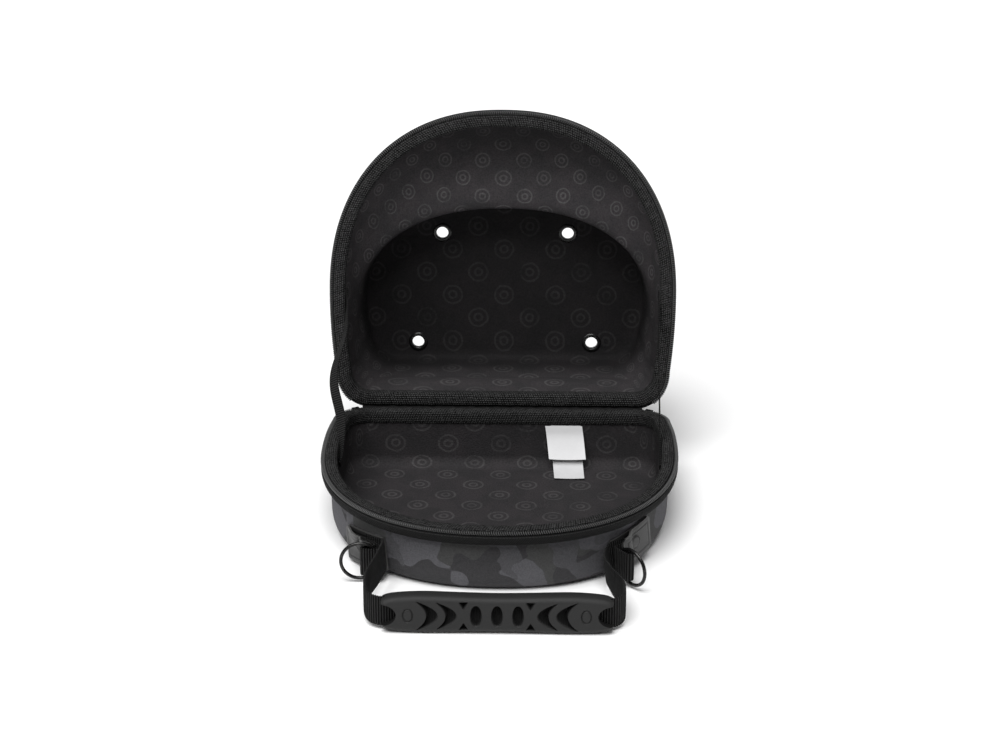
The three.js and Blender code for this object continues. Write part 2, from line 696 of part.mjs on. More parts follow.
function strapSide(sign) {
  const lead = STRAP_LEAD.map(({ along, out }) => wallPoint(along, out));
  const start = lead.at(-1).y;
  const gripEnd = GRIP_HALF_LENGTH + sign * HANDLE_SHIFT;
  const run = STRAP_RUN.map(({ ahead, outwards }) => (
    new THREE.Vector2(gripEnd + outwards, start + (GRIP_S - start) * ahead)
  ));
  for (let i = 0; i <= BEND_STEPS; i++) {
    const turn = (i / BEND_STEPS) * Math.PI / 2;
    const x = gripEnd + 1 + BEND_RADIUS * Math.cos(turn);
    run.push(new THREE.Vector2(x, GRIP_S - BEND_RADIUS * (1 - Math.sin(turn))));
  }
  run.push(new THREE.Vector2(gripEnd - BEND_RADIUS, GRIP_S));
  const points = [...lead, ...run].map(({ x, y }) => {
    const ahead = THREE.MathUtils.clamp((y - start) / (GRIP_S - start), 0, 1);
    return new THREE.Vector3(sign * x, -y, ground(THREE.MathUtils.lerp(ANCHOR_HEIGHT, GRIP_MIDDLE, ahead)));
  });
  return new THREE.CatmullRomCurve3(points, false, 'centripetal').getPoints(2 * points.length);
}

function strap() {
  const path = [...strapSide(1), ...strapSide(-1).reverse()];
  return ribbon(path, () => UP, STRAP_WIDTH, STRAP_THICK);
}

// Columns: place along the grip, and height there, as shares of its half length and height
const GRIP_ROWS = [
  { along: 1, height: 0.72 },
  { along: 0.975, height: 0.79 },
  { along: 0.91, height: 0.89 },
  { along: 0.78, height: 0.97 },
  { along: 0.6, height: 1 },
  { along: 0.3, height: 0.95 },
];

// Openings in the grip's front, as shapes in x and z round its middle
function crescent(tip, bulge, thick, halfHeight) {
  const steps = 5;
  const arc = (reach) => Array.from({ length: steps + 1 }, (_, i) => {
    const share = 2 * i / steps - 1;
    return [tip + Math.sign(tip) * -1 * reach * (1 - share ** 2), share * halfHeight];
  });
  const outer = arc(bulge);
  const inner = arc(bulge - thick).slice(1, -1).reverse();
  return [...outer, ...inner];
}

function ellipse(x, halfWidth, halfHeight) {
  const steps = 10;
  return Array.from({ length: steps }, (_, i) => {
    const turn = (i / steps) * 2 * Math.PI;
    return [x + halfWidth * Math.cos(turn), halfHeight * Math.sin(turn)];
  });
}

// Windows of the grip, round its middle: ovals, and on each side two crescents and two corners
const WINDOW_HALF_HEIGHT = 12.2;
const OVAL = { pitch: 16.3, halfWidth: 4.1, halfHeight: 8.4 };
const CRESCENTS = [
  { tip: 62.5, bulge: 16.3, thick: 8.3, halfHeight: WINDOW_HALF_HEIGHT },
  { tip: 46.7, bulge: 15.2, thick: 8, halfHeight: 0.94 * WINDOW_HALF_HEIGHT },
];
const CORNER = { x: 26, halfWidth: 3.2, far: 0.95 * WINDOW_HALF_HEIGHT, near: 0.52 * WINDOW_HALF_HEIGHT };

const cornerWindow = (side, sign) => [
  [side * CORNER.x - CORNER.halfWidth, sign * CORNER.far],
  [side * CORNER.x + CORNER.halfWidth, sign * CORNER.far],
  [side * CORNER.x, sign * CORNER.near],
];

function gripWindows() {
  const shapes = [-1, 0, 1].map((place) => ellipse(place * OVAL.pitch, OVAL.halfWidth, OVAL.halfHeight));
  for (const side of [-1, 1]) {
    for (const { tip, bulge, thick, halfHeight } of CRESCENTS) {
      shapes.push(crescent(side * tip, bulge, thick, halfHeight));
    }
    shapes.push(cornerWindow(side, 1), cornerWindow(side, -1));
  }
  return shapes;
}

// An extrusion of a flat shape in x and z, from y near to y far
function slab(points, near, far) {
  const shape = new THREE.Shape(points.map(([x, z]) => new THREE.Vector2(x, z)));
  return new THREE.ExtrudeGeometry(shape, { depth: far - near, bevelEnabled: false })
    .applyMatrix4(new THREE.Matrix4().makeBasis(RIGHT, UP, new THREE.Vector3(0, -1, 0)))
    .translate(0, far, 0);
}

function grip() {
  const rows = [
    ...GRIP_ROWS.map(({ along, height }) => ({ along: -along, height })),
    { along: 0, height: 0.92 },
    ...GRIP_ROWS.slice().reverse(),
  ];
  const rings = rows.map(({ along, height }) => Array.from({ length: GRIP_SIDES }, (_, i) => {
    const turn = (i / GRIP_SIDES) * 2 * Math.PI + Math.PI / GRIP_SIDES;
    const square = (value) => Math.sign(value) * Math.abs(value) ** 0.45;
    return new THREE.Vector3(
      along * GRIP_HALF_LENGTH,
      square(Math.cos(turn)) * GRIP_THICK / 2,
      square(Math.sin(turn)) * height * GRIP_HEIGHT / 2,
    );
  }));
  const slot = new THREE.BoxGeometry(3 * GRIP_HALF_LENGTH, STRAP_THICK + 2 * GAP, STRAP_WIDTH + 2 * GAP);
  const notches = [-1, 1].map((end) => {
    const shape = ellipse(end * GRIP_HALF_LENGTH, NOTCH_DEPTH, NOTCH_HEIGHT / 2);
    return slab(shape, -GRIP_THICK, GRIP_THICK);
  });
  const front = -GRIP_THICK / 2;
  const windows = gripWindows().map((shape) => slab(shape, front - 1, front + WINDOW_DEPTH));
  return subtract(loft(rings), [slot, ...notches, ...windows])
    .translate(HANDLE_SHIFT, -GRIP_S, ground(GRIP_MIDDLE));
}

// Assembly

const carrier = new THREE.Group();
const base = new THREE.Group();
const lid = new THREE.Group();
base.position.set(0, HALF_DEPTH, BASE_HEIGHT);
lid.position.set(0, HALF_DEPTH, BASE_HEIGHT - LID_DROP);
lid.rotation.x = -THREE.MathUtils.degToRad(OPENING_DEG);
carrier.add(base, lid);

function add(group, name, geometry, material) {
  const mesh = new THREE.Mesh(geometry, material);
  mesh.name = name;
  group.add(mesh);
}

add(base, 'base_shell', trayShell(), SHELL_CLOTH);
add(lid, 'lid_shell', lidShell(), SHELL_CLOTH);

for (const [group, name, side] of [[base, 'base', BASE_SIDE], [lid, 'lid', LID_SIDE]]) {
  add(group, `${name}_binding`, rimSweep(bindingSection(), side), BINDING_CLOTH);
  const zipEnds = [ZIP_START_STEPS, ZIP_END - ZIP_START_STEPS];
  add(group, `${name}_zip_tape`, rimSweep(tapeSection(), side, ...zipEnds), ZIP_CLOTH);
  add(group, `${name}_zip_coil`, rimSweep(coilSection(), side, ...zipEnds), COIL_NYLON);
}

for (const spot of EYELETS) add(lid, spot.name, eyelet(eyeletCentre(spot)), DARK_METAL);

add(base, 'hinge_strip', hingeStrip(), ZIP_CLOTH);
add(base, 'label_upper', label(UPPER_LABEL, UPPER_LABEL_WIDTH, LABEL_X), LABEL_SATIN);
add(base, 'label_lower', label(LOWER_LABEL, LOWER_LABEL_WIDTH, LABEL_X + LABEL_SLANT / 2), LABEL_SATIN);
add(base, 'handle_strap', strap(), WEBBING);
add(base, 'handle_grip', grip(), GRIP_RUBBER);

const SIDES = [
  { name: 'left', sign: -1, bow: LEFT_STAY_BOW, ringTurn: 0 },
  { name: 'right', sign: 1, bow: 0, ringTurn: RIGHT_RING_TURN_DEG },
];
for (const { name, sign, bow, ringTurn } of SIDES) {
  add(base, `stay_${name}`, stay(sign, bow), WEBBING);
  add(base, `zip_slider_${name}`, zipSlider(sign), DARK_METAL);
  add(base, `patch_backing_${name}`, backing(sign), PATCH_LEATHER);
  add(base, `patch_${name}`, patch(sign), PATCH_LEATHER);
  add(base, `stud_${name}`, stud(sign), PATCH_LEATHER);
  add(base, `ring_loop_${name}`, ringLoop(sign), WEBBING);
  add(base, `ring_${name}`, ring(sign, ringTurn), DARK_METAL);
}

export default carrier;
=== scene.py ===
# %% [markdown]
# # A carrier case for baseball caps
# The real case is a clamshell of moulded foam with cloth bonded to both faces. A shallow tray stands
# on the table, and the deep lid leans back behind it. A zip runs round both rims, and a rubber grip
# on webbing lies in front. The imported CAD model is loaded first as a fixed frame. Every piece below
# is put where the model has its plainer solid, the handle's anchors to within a centimetre, and then
# finished as the real material.

# %% Load the frame
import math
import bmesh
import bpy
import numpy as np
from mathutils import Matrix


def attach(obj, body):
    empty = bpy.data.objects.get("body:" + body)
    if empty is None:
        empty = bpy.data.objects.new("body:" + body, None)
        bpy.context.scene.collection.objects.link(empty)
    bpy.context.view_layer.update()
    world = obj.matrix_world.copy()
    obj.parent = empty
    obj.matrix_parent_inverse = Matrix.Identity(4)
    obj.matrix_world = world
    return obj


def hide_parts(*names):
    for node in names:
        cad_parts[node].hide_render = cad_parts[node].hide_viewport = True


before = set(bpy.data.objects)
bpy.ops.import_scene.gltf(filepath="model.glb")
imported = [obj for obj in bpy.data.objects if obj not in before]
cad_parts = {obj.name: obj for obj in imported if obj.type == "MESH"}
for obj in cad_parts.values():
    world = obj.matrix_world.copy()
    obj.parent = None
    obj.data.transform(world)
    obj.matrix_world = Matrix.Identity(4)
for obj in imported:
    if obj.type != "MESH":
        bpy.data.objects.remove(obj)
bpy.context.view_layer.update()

# %% [markdown]
# ## Numbers and the two halves of the hinge
# Sizes are in millimetres, as on a drawing, and are turned to metres only when a point is placed. A
# place on the case is easiest to say from its hinge: x to the right, s away from the hinge along the
# rim's plane, and d down into the hollow. The same x, s and d then serve the tray and the lid, and
# one function for each half puts them into the world. The soft rims sag a little at the hinge, where
# the lid's weight hangs on them, and both functions hold that too.

MM = 0.001
HALF_WIDTH = 150.0
HALF_DEPTH = 130.0
TRAY_HEIGHT = 58.0
LID_DEPTH = 100.0
WALL = 4.0
LEAN = math.radians(6.8)
LID_IN = np.array([0, math.cos(LEAN), -math.sin(LEAN)])
UP = (0.0, 0.0, 1.0)
ACROSS = (1.0, 0.0, 0.0)
LID_DROP = 2.7
REAR_SAG = 3.6
LID_SAG = 4.2
RIM_CLEAR = 2.0
SHELL_INSET = 8.0
CAVITY_INSET = 12.0
noise = np.random.default_rng(11)


def step(value, low, high):
    """0 below low, 1 above high, and a smooth step from one to the other."""
    share = np.clip((value - low) / (high - low), 0, 1)
    return share * share * (3 - 2 * share)


def on_tray(x, s, d):
    x, s, d = np.broadcast_arrays(x, s, d)
    sag = REAR_SAG * (1 - step(s, 0, 70)) * np.clip(1 - d / TRAY_HEIGHT, 0, 1)
    return np.stack([x, HALF_DEPTH - s, TRAY_HEIGHT - d - sag], axis=-1) * MM


def on_lid(x, s, d):
    x, s, d = np.broadcast_arrays(x, s, d)
    s = s - LID_SAG * (1 - step(s, 0, 42))
    back = HALF_DEPTH + s * math.sin(LEAN) + d * math.cos(LEAN)
    high = TRAY_HEIGHT - LID_DROP + s * math.cos(LEAN) - d * math.sin(LEAN)
    return np.stack([x, back, high], axis=-1) * MM


print("lid leans back by", round(math.degrees(LEAN), 1), "degrees")

# %% [markdown]
# ## The D outline
# Both rims share one D: straight along the hinge, with round rear corners, sides that widen a little,
# and a front that is rounder than an ellipse. A superellipse says that in one number. Moving each
# point square to the line gives the lines inside it for the wall, the binding and the zip.

# %% The D outline and its insets
WIDEST_SHARE = 0.375
FRONT_EXPONENT = 2.24
SIDE_TAPER = 4.3
REAR_CORNER = 31.0


def d_outline(half_width, back, front, fineness):
    widest = back + (front - back) * WIDEST_SHARE
    rear_half = half_width - SIDE_TAPER
    corner = np.linspace(0, math.pi / 2, 5 * fineness + 1)
    right = np.column_stack([
        rear_half - REAR_CORNER + REAR_CORNER * np.sin(corner),
        back + REAR_CORNER - REAR_CORNER * np.cos(corner),
    ])
    along = 1 - np.arange(1, 3 * fineness + 1) / (3 * fineness)
    side = np.column_stack([
        half_width - SIDE_TAPER * along ** 2,
        widest - (widest - back - REAR_CORNER) * along,
    ])
    right = np.vstack([right, side])
    turn = np.arange(1, 28 * fineness) / (28 * fineness) * math.pi
    power = 2 / FRONT_EXPONENT
    front_arc = np.column_stack([
        half_width * np.sign(np.cos(turn)) * np.abs(np.cos(turn)) ** power,
        widest + (front - widest) * np.sin(turn) ** power,
    ])
    left = (right * [-1, 1])[::-1]
    share = 2 * np.arange(1, 4 * fineness) / (4 * fineness) - 1
    rear = np.column_stack([(rear_half - REAR_CORNER) * share, np.full(len(share), back)])
    return np.vstack([right, front_arc, left, rear])


def inward(outline):
    along = np.roll(outline, -1, axis=0) - np.roll(outline, 1, axis=0)
    along /= np.linalg.norm(along, axis=1, keepdims=True)
    return np.column_stack([-along[:, 1], along[:, 0]])


def inset(outline, distance):
    return outline + inward(outline) * distance


def lengths(points, closed=False):
    if closed:
        points = np.concatenate([points, points[:1]])
    steps = np.linalg.norm(np.diff(points, axis=0), axis=1)
    return np.concatenate([[0], np.cumsum(steps)])


RIM_STEPS = 640
fine_rim = d_outline(HALF_WIDTH, 0, 2 * HALF_DEPTH, 12)
fine_lengths = lengths(fine_rim, closed=True)
RIM_LENGTH = fine_lengths[-1]
spots = np.arange(RIM_STEPS) / RIM_STEPS * RIM_LENGTH
closed_rim = np.vstack([fine_rim, fine_rim[:1]])
RIM = np.column_stack([np.interp(spots, fine_lengths, closed_rim[:, axis]) for axis in (0, 1)])
RIM_INWARD = inward(RIM)
REAR_LENGTH = 2 * (HALF_WIDTH - SIDE_TAPER - REAR_CORNER)
ZIP_START = 0.4 * math.pi / 2 * REAR_CORNER
TAPE_START = 0.08 * math.pi / 2 * REAR_CORNER
print("rim length", round(RIM_LENGTH), "mm")

# %% [markdown]
# ## From rings of points to a mesh
# Most pieces of a bag are bands: a section that runs along a path. One function joins rings of points
# with four-sided faces, closes the ends and writes a UV map in metres, so that ribs and weave later
# follow the cloth. It also measures the signed volume of what it made and turns every face round if
# the volume is negative, so that all faces point outwards.

# %% Mesh helpers


def signed_volume(points, faces):
    total = 0.0
    for size in {len(face) for face in faces}:
        group = points[np.array([face for face in faces if len(face) == size])]
        for k in range(1, size - 1):
            total += np.einsum("ij,ij->i", group[:, 0], np.cross(group[:, k], group[:, k + 1])).sum()
    return total / 6


def strip_mesh(rings, closed_path=False, closed_section=True, uv=None):
    n, m = rings.shape[:2]
    steps = np.arange(n if closed_path else n - 1)
    sides = np.arange(m if closed_section else m - 1)
    i, j = (grid.ravel() for grid in np.meshgrid(steps, sides, indexing="ij"))
    i2, j2 = (i + 1) % n, (j + 1) % m
    quads = np.stack([i * m + j, i2 * m + j, i2 * m + j2, i * m + j2], axis=1)
    if uv is None:
        along = lengths(rings[:, 0], closed_path)
        around = lengths(rings[n // 2], closed_section)
        corners = [(i, j), (i + 1, j), (i + 1, j + 1), (i, j + 1)]
        quad_uv = np.stack([np.column_stack([along[a], around[b]]) for a, b in corners], axis=1)
    else:
        corners = [(i, j), (i2, j), (i2, j2), (i, j2)]
        quad_uv = np.stack([uv[a, b] for a, b in corners], axis=1)
    faces = quads.tolist()
    face_uv = list(quad_uv)
    if closed_section and not closed_path:
        for ring, order in ((0, 1), (n - 1, -1)):
            face = (ring * m + np.arange(m))[::order]
            faces.append(face.tolist())
            face_uv.append(uv[ring][::order] if uv is not None else np.zeros((m, 2)))
    if closed_path and not closed_section:
        for column, order in ((0, -1), (m - 1, 1)):
            face = (np.arange(n) * m + column)[::order]
            faces.append(face.tolist())
            face_uv.append(uv[:, column][::order] if uv is not None else np.zeros((n, 2)))
    points = rings.reshape(-1, 3)
    if signed_volume(points, faces) < 0:
        faces = [face[::-1] for face in faces]
        face_uv = [corner[::-1] for corner in face_uv]
    return points, faces, face_uv


def joined(shapes):
    points, faces, face_uv, start = [], [], [], 0
    for shape_points, shape_faces, shape_uv in shapes:
        points.append(shape_points)
        faces += [[index + start for index in face] for face in shape_faces]
        face_uv += list(shape_uv)
        start += len(shape_points)
    return np.vstack(points), faces, face_uv


def plain_mesh(name, shape):
    points, faces, face_uv = shape
    mesh = bpy.data.meshes.new(name)
    mesh.from_pydata(points.tolist(), [], faces)
    layer = mesh.uv_layers.new(name="cloth")
    layer.data.foreach_set("uv", np.concatenate(face_uv).astype(np.float32).ravel())
    mesh.shade_smooth()
    mesh.set_sharp_from_angle(angle=math.radians(55))
    return mesh


def new_object(name, data):
    made = bpy.data.objects.new(name, data)
    bpy.context.collection.objects.link(made)
    return made


def piece(name, shape, materials, replaces=()):
    """Adds a piece that rides on the case, with its finishes and the nodes it stands for."""
    mesh = shape if isinstance(shape, bpy.types.Mesh) else plain_mesh(name, shape)
    mesh.name = name
    for material in materials:
        mesh.materials.append(material)
    made = new_object(name, mesh)
    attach(made, "root")
    if replaces:
        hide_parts(*replaces)
    print(name, len(mesh.polygons), "faces")
    return made


def smooth_path(points, per_step):
    """A Catmull-Rom curve through rows of numbers."""
    points = np.asarray(points, float)
    padded = np.vstack([2 * points[0] - points[1], points, 2 * points[-1] - points[-2]])
    share = np.arange(per_step)[:, None] / per_step
    parts = []
    for a, b, c, d in zip(padded, padded[1:], padded[2:], padded[3:]):
        parts.append(0.5 * (
            2 * b + (c - a) * share + (2 * a - 5 * b + 4 * c - d) * share ** 2
            + (3 * b - a - 3 * c + d) * share ** 3
        ))
    return np.vstack([*parts, points[-1:]])


def evenly(points, step):
    along = lengths(points)
    count = max(int(round(along[-1] / step)), 2)
    spots = np.linspace(0, along[-1], count + 1)
    return np.column_stack([np.interp(spots, along, points[:, axis]) for axis in range(points.shape[1])])


def units(vectors):
    return vectors / np.maximum(np.linalg.norm(vectors, axis=-1, keepdims=True), 1e-12)


def thick_sheet(surface, thickness, uv=None):
    """A closed sheet round a grid of points, with one thickness or one for each column or point."""
    normal = units(np.cross(np.gradient(surface, axis=0), np.gradient(surface, axis=1)))
    half = np.broadcast_to(np.asarray(thickness, float), surface.shape[:2])[..., None] / 2
    rings = np.concatenate([surface + normal * half, (surface - normal * half)[:, ::-1]], axis=1)
    if uv is not None:
        uv = np.concatenate([uv, uv[:, ::-1]], axis=1)
    return strip_mesh(rings, uv=uv)


def band_surface(path, wide, width, columns):
    across = np.linspace(-0.5, 0.5, columns)[None, :, None]
    wide = np.broadcast_to(units(np.asarray(wide, float)), path.shape)
    width = np.broadcast_to(np.asarray(width, float), len(path))[:, None, None]
    return path[:, None] + wide[:, None] * across * width


# %% [markdown]
# ## Shader maths in plain Python
# A woven rib or a printed pattern is arithmetic on coordinates. One small class wraps a shader value,
# so that plus, minus and times add Math nodes, and one method adds any other node. The recipes for
# the finishes below then read like formulas.

# %% Shader helpers


class Value:
    """A number that a shader node gives."""

    def __init__(self, finish, socket):
        self.finish = finish
        self.socket = socket

    def math(self, operation, *others):
        sockets = dict(enumerate((self, *others)))
        return self.finish.node("ShaderNodeMath", {"operation": operation}, sockets)

    def __add__(self, other):
        return self.math("ADD", other)

    def __radd__(self, other):
        return self.math("ADD", other)

    def __sub__(self, other):
        return self.math("SUBTRACT", other)

    def __rsub__(self, other):
        return (self * -1.0) + other

    def __mul__(self, other):
        return self.math("MULTIPLY", other)

    def __rmul__(self, other):
        return self.math("MULTIPLY", other)

    def __truediv__(self, other):
        return self.math("DIVIDE", other)

    def between(self, low, high):
        """0 below low, 1 above high, and a smooth step from one to the other."""
        sockets = {0: self, 1: low, 2: high}
        return self.finish.node("ShaderNodeMapRange", {"interpolation_type": "SMOOTHSTEP"}, sockets)


class Finish:
    """A material while it is being made."""

    def __init__(self, name):
        self.material = bpy.data.materials.new(name)
        self.material.use_nodes = True
        self.tree = self.material.node_tree
        self.tree.nodes.clear()

    def node(self, kind, settings=None, sockets=None, output=0):
        node = self.tree.nodes.new(kind)
        for key, value in (settings or {}).items():
            setattr(node, key, value)
        for key, value in (sockets or {}).items():
            if isinstance(value, Value):
                self.tree.links.new(value.socket, node.inputs[key])
            else:
                node.inputs[key].default_value = value
        return Value(self, node.outputs[output]) if node.outputs else None

    def place(self):
        return self.node("ShaderNodeTexCoord", output="Object")

    def cloth_uv(self):
        uv = self.node("ShaderNodeUVMap", {"uv_map": "cloth"})
        parts = self.node("ShaderNodeSeparateXYZ", None, {0: uv}).socket.node.outputs
        return Value(self, parts[0]), Value(self, parts[1])

    def vector(self, operation, first, second, output=0):
        """Vector maths. The second output is the number that a dot product gives."""
        second_socket = 3 if operation == "SCALE" else 1
        sockets = {0: first, second_socket: second}
        return self.node("ShaderNodeVectorMath", {"operation": operation}, sockets, output)

    def noise(self, scale, detail=2.0, roughness=0.5, where=None, output=0):
        sockets = {"Vector": where or self.place(), "Scale": scale, "Detail": detail, "Roughness": roughness}
        return self.node("ShaderNodeTexNoise", None, sockets, output)

    def mix(self, share, first, second):
        sockets = {0: share, 6: first, 7: second}
        return self.node("ShaderNodeMix", {"data_type": "RGBA"}, sockets, output=2)

    def shade(self, colour, factor):
        """A colour made lighter or darker by a number round 1."""
        grey = self.node("ShaderNodeCombineColor", None, {0: factor, 1: factor, 2: factor})
        sockets = {0: 1.0, 6: colour, 7: grey}
        return self.node("ShaderNodeMix", {"data_type": "RGBA", "blend_type": "MULTIPLY"}, sockets, output=2)

    def done(self, colour, roughness, height=None, relief=0.0, metallic=0.0, **fixed):
        """Joins the recipe to the surface shader. height is in metres times relief."""
        sockets = {"Base Color": colour, "Roughness": roughness, "Metallic": metallic}
        if height is not None:
            bump = {"Strength": 1.0, "Distance": relief, "Height": height}
            sockets["Normal"] = self.node("ShaderNodeBump", None, bump)
        sockets.update(fixed)
        surface = self.node("ShaderNodeBsdfPrincipled", None, sockets)
        self.node("ShaderNodeOutputMaterial", None, {"Surface": surface})
        return self.material


CLOTH_GLOSS = {"Specular IOR Level": 0.14}
RUBBER_GLOSS = {"Specular IOR Level": 0.3}


def grey(value, tint=(1.0, 1.0, 1.0)):
    return (value * tint[0], value * tint[1], value * tint[2], 1.0)


# %% [markdown]
# ## Outer cloth: a tonal camouflage
# The outside is a woven polyester printed with four close tones of charcoal. A camouflage print has
# crisp edges and lobed shapes. A soft noise that is cut off at a level gives such a shape, and bending
# its coordinates with a second noise makes the lobes. Three of them lie over the ground tone, each
# shifted to another place. A fine grain stands for the weave.

# %% Camouflage cloth
BLOT_BEND = 0.05
BLOT_EDGE = 0.004


def camouflage_cloth():
    cloth = Finish("camouflage_cloth")
    centred = cloth.vector("SUBTRACT", cloth.noise(20.0, output=1), (0.5, 0.5, 0.5))
    bent = cloth.vector("ADD", cloth.place(), cloth.vector("SCALE", centred, BLOT_BEND))

    def blot(shift, scale, level):
        where = cloth.vector("ADD", bent, shift)
        return cloth.noise(scale, 1.0, 0.4, where).between(level - BLOT_EDGE, level + BLOT_EDGE)

    colour = cloth.mix(blot((0.3, 0.1, 0.7), 19.0, 0.49), grey(0.058), grey(0.094, (0.98, 0.97, 1.05)))
    colour = cloth.mix(blot((1.7, 2.3, 0.2), 24.0, 0.55), colour, grey(0.043, (1.0, 0.98, 1.03)))
    colour = cloth.mix(blot((4.1, 0.6, 3.3), 27.0, 0.58), colour, grey(0.074, (0.98, 0.97, 1.04)))
    grain = cloth.noise(800.0, 3.0, 0.7)
    slub = cloth.noise(330.0, 2.0, 0.6)
    colour = cloth.shade(colour, grain * 0.9 + slub * 0.3 + 0.46)
    return cloth.done(colour, 0.85, grain, 0.0006, **CLOTH_GLOSS)


CAMOUFLAGE = camouflage_cloth()

# %% [markdown]
# ## Lining: printed jersey
# The lining is a dark jersey with a tonal print, here pairs of rings, one inside the other, in a
# half-drop repeat. The print was on the flat cloth before it was moulded, so it follows the UV map,
# which unrolls the walls. Mills print such a repeat by tiling a cell, and the maths does the same: the
# fraction of the coordinates in a cell gives the place in it, and every second row is moved by half
# a cell. The print is worn and patchy, so a soft noise lets it fade. The lid's copy of the jersey
# has painted light and shade: lighter low on the shoulder, darker at its top and deep in the well.

# %% Lining cloth
PRINT_WIDE = 0.046
PRINT_HIGH = 0.021


def even(cloth):
    """The tray's jersey has one tone."""
    return 1.0


def lid_painted_light_and_shade(cloth):
    """Painted light and shade for the lid's jersey: lighter low on the shoulder, darker at its top and deep
    in the well.
    """
    depth = cloth.vector("DOT_PRODUCT", cloth.place(), tuple(LID_IN), 1)
    height = cloth.vector("DOT_PRODUCT", cloth.place(), UP, 1)
    start = float(LID_IN @ (np.array([0.0, HALF_DEPTH, TRAY_HEIGHT - LID_DROP]) * MM))
    # Painted light and shade by height, then painted shade deep in the well
    painted_light_by_height = height.between(0.10, 0.19) * 1.15 - height.between(0.215, 0.290) * 1.5 + 1.15
    deep_mask_and_painted_shade = (depth - start).between(0.050, 0.088)
    return painted_light_by_height * (1 - deep_mask_and_painted_shade) + deep_mask_and_painted_shade * 0.5


def lining_cloth(name, painted_shade_factor):
    cloth = Finish(name)
    u, v = cloth.cloth_uv()
    wobble = cloth.noise(160.0, 2.0, 0.5) * 0.0016
    row = (v / PRINT_HIGH).math("FLOOR")
    half_drop = (row * 0.5).math("FRACT")
    in_x = ((u + wobble) / PRINT_WIDE + half_drop).math("FRACT") * PRINT_WIDE - 0.5 * PRINT_WIDE
    in_y = ((v - wobble) / PRINT_HIGH).math("FRACT") * PRINT_HIGH - 0.5 * PRINT_HIGH
    away = (in_x * in_x + in_y * in_y).math("SQRT")
    outer_ring = away.between(0.0070, 0.0076) * (1 - away.between(0.0088, 0.0094))
    inner_ring = away.between(0.0020, 0.0025) * (1 - away.between(0.0040, 0.0045))
    patchy = cloth.noise(45.0, 3.0, 0.6)
    printed = (outer_ring + inner_ring) * patchy.between(0.2, 0.6)
    ground = cloth.mix(
        patchy.between(0.35, 0.65), grey(0.0215, (1.02, 0.97, 1.02)), grey(0.0255, (1.06, 0.96, 1.02)),
    )
    colour = cloth.mix(printed * 0.9, ground, grey(0.047, (1.02, 0.98, 1.0)))
    grain = cloth.noise(750.0, 3.0, 0.7)
    # For the lid this factor carries painted light and shade
    colour = cloth.shade(colour, (grain * 1.5 + 0.25) * painted_shade_factor(cloth))
    return cloth.done(colour, 0.8, grain, 0.0006, **CLOTH_GLOSS)


LINING = lining_cloth("tray_lining", even)
# The lid's lining is the tray's jersey with painted light and shade
LID_LINING = lining_cloth("lid_lining_painted_shade", lid_painted_light_and_shade)

# %% [markdown]
# ## Woven tapes
# Binding, zip tape and webbing are narrow weaves with ribs. Their UV map is in metres, with u along
# the tape and v across it, so a rib is a sine wave along u or v. The zip tape is a twill, whose lines
# run at a slant, and the webbing has heavy ribs across its length that break into small beads.

# %% Binding, zip tape and webbing


def wave(value, period):
    return (value * (2 * math.pi / period)).math("SINE") * 0.5 + 0.5


def binding_weave():
    cloth = Finish("binding_weave")
    u, v = cloth.cloth_uv()
    bead = wave(u + v * 0.35, 0.0021) * wave(v, 0.0018)
    fuzz = cloth.noise(620.0, 3.0, 0.75)
    patch = cloth.noise(60.0, 2.0, 0.5)
    colour = cloth.shade(grey(0.040), bead * 2.0 + fuzz * 3.4 + patch * 0.5 - 1.75)
    return cloth.done(colour, 0.9, bead * 1.2 + fuzz * 1.2, 0.0011, **CLOTH_GLOSS)


def tape_twill():
    cloth = Finish("tape_twill")
    u, v = cloth.cloth_uv()
    twill = wave(u + v * 0.8, 0.0019)
    fuzz = cloth.noise(700.0, 3.0, 0.7)
    colour = cloth.shade(grey(0.0095), twill * 1.1 + fuzz * 1.6 - 0.35)
    return cloth.done(colour, 0.85, twill + fuzz * 0.5, 0.0005, **CLOTH_GLOSS)


def dark_cord():
    cord = Finish("dark_cord")
    strand = cord.noise(1500.0, 2.0, 0.5)
    return cord.done(cord.shade(grey(0.004), strand * 0.8 + 0.6), 0.9, strand, 0.0003, **CLOTH_GLOSS)


RIB_PITCH = 0.0021


def ribbed_webbing():
    cloth = Finish("ribbed_webbing")
    u, v = cloth.cloth_uv()
    rib = wave(u, RIB_PITCH)
    bead = wave(v + (u / RIB_PITCH).math("FLOOR") * 0.0007, 0.0014)
    fuzz = cloth.noise(700.0, 3.0, 0.7)
    colour = cloth.shade(grey(0.0165), rib * 1.8 + bead * 0.6 * rib + fuzz * 1.2 - 0.8)
    return cloth.done(colour, 0.8, rib * 0.7 + bead * 0.35 * rib + fuzz * 0.15, 0.0014, **CLOTH_GLOSS)


BINDING = binding_weave()
TAPE = tape_twill()
CORD = dark_cord()
WEBBING = ribbed_webbing()

# %% [markdown]
# ## Satin, leather, rubber, metal and nylon
# The labels are white satin with a faint sheen across, and the lower one is given a greyer copy of the
# satin as painted shade. The anchors are a coated leather with fine grain and paler edges. Its UV says
# how far a point lies from the edge, which gives both the pale edge and the pressed border. The grip is
# a matte rubber, finely lined down in its windows and painted darker there as shade in the hollows: its
# UV keeps their depth. The rings are blackened wire, and the zip is nylon with a soft gloss.

# %% The other finishes
PATCH_LENGTH = 40.0
PATCH_HEIGHT = 29.0


def label_satin(name, tone):
    cloth = Finish(name)
    u, v = cloth.cloth_uv()
    threads = wave(v, 0.0006) * 0.4 + wave(u, 0.0009) * 0.3
    soft = cloth.noise(90.0, 3.0, 0.6)
    colour = cloth.shade(grey(tone, (0.99, 0.99, 1.0)), soft * 0.10 + threads * 0.06 + 0.90)
    return cloth.done(colour, 0.45, threads + soft * 0.6, 0.00015, **CLOTH_GLOSS)


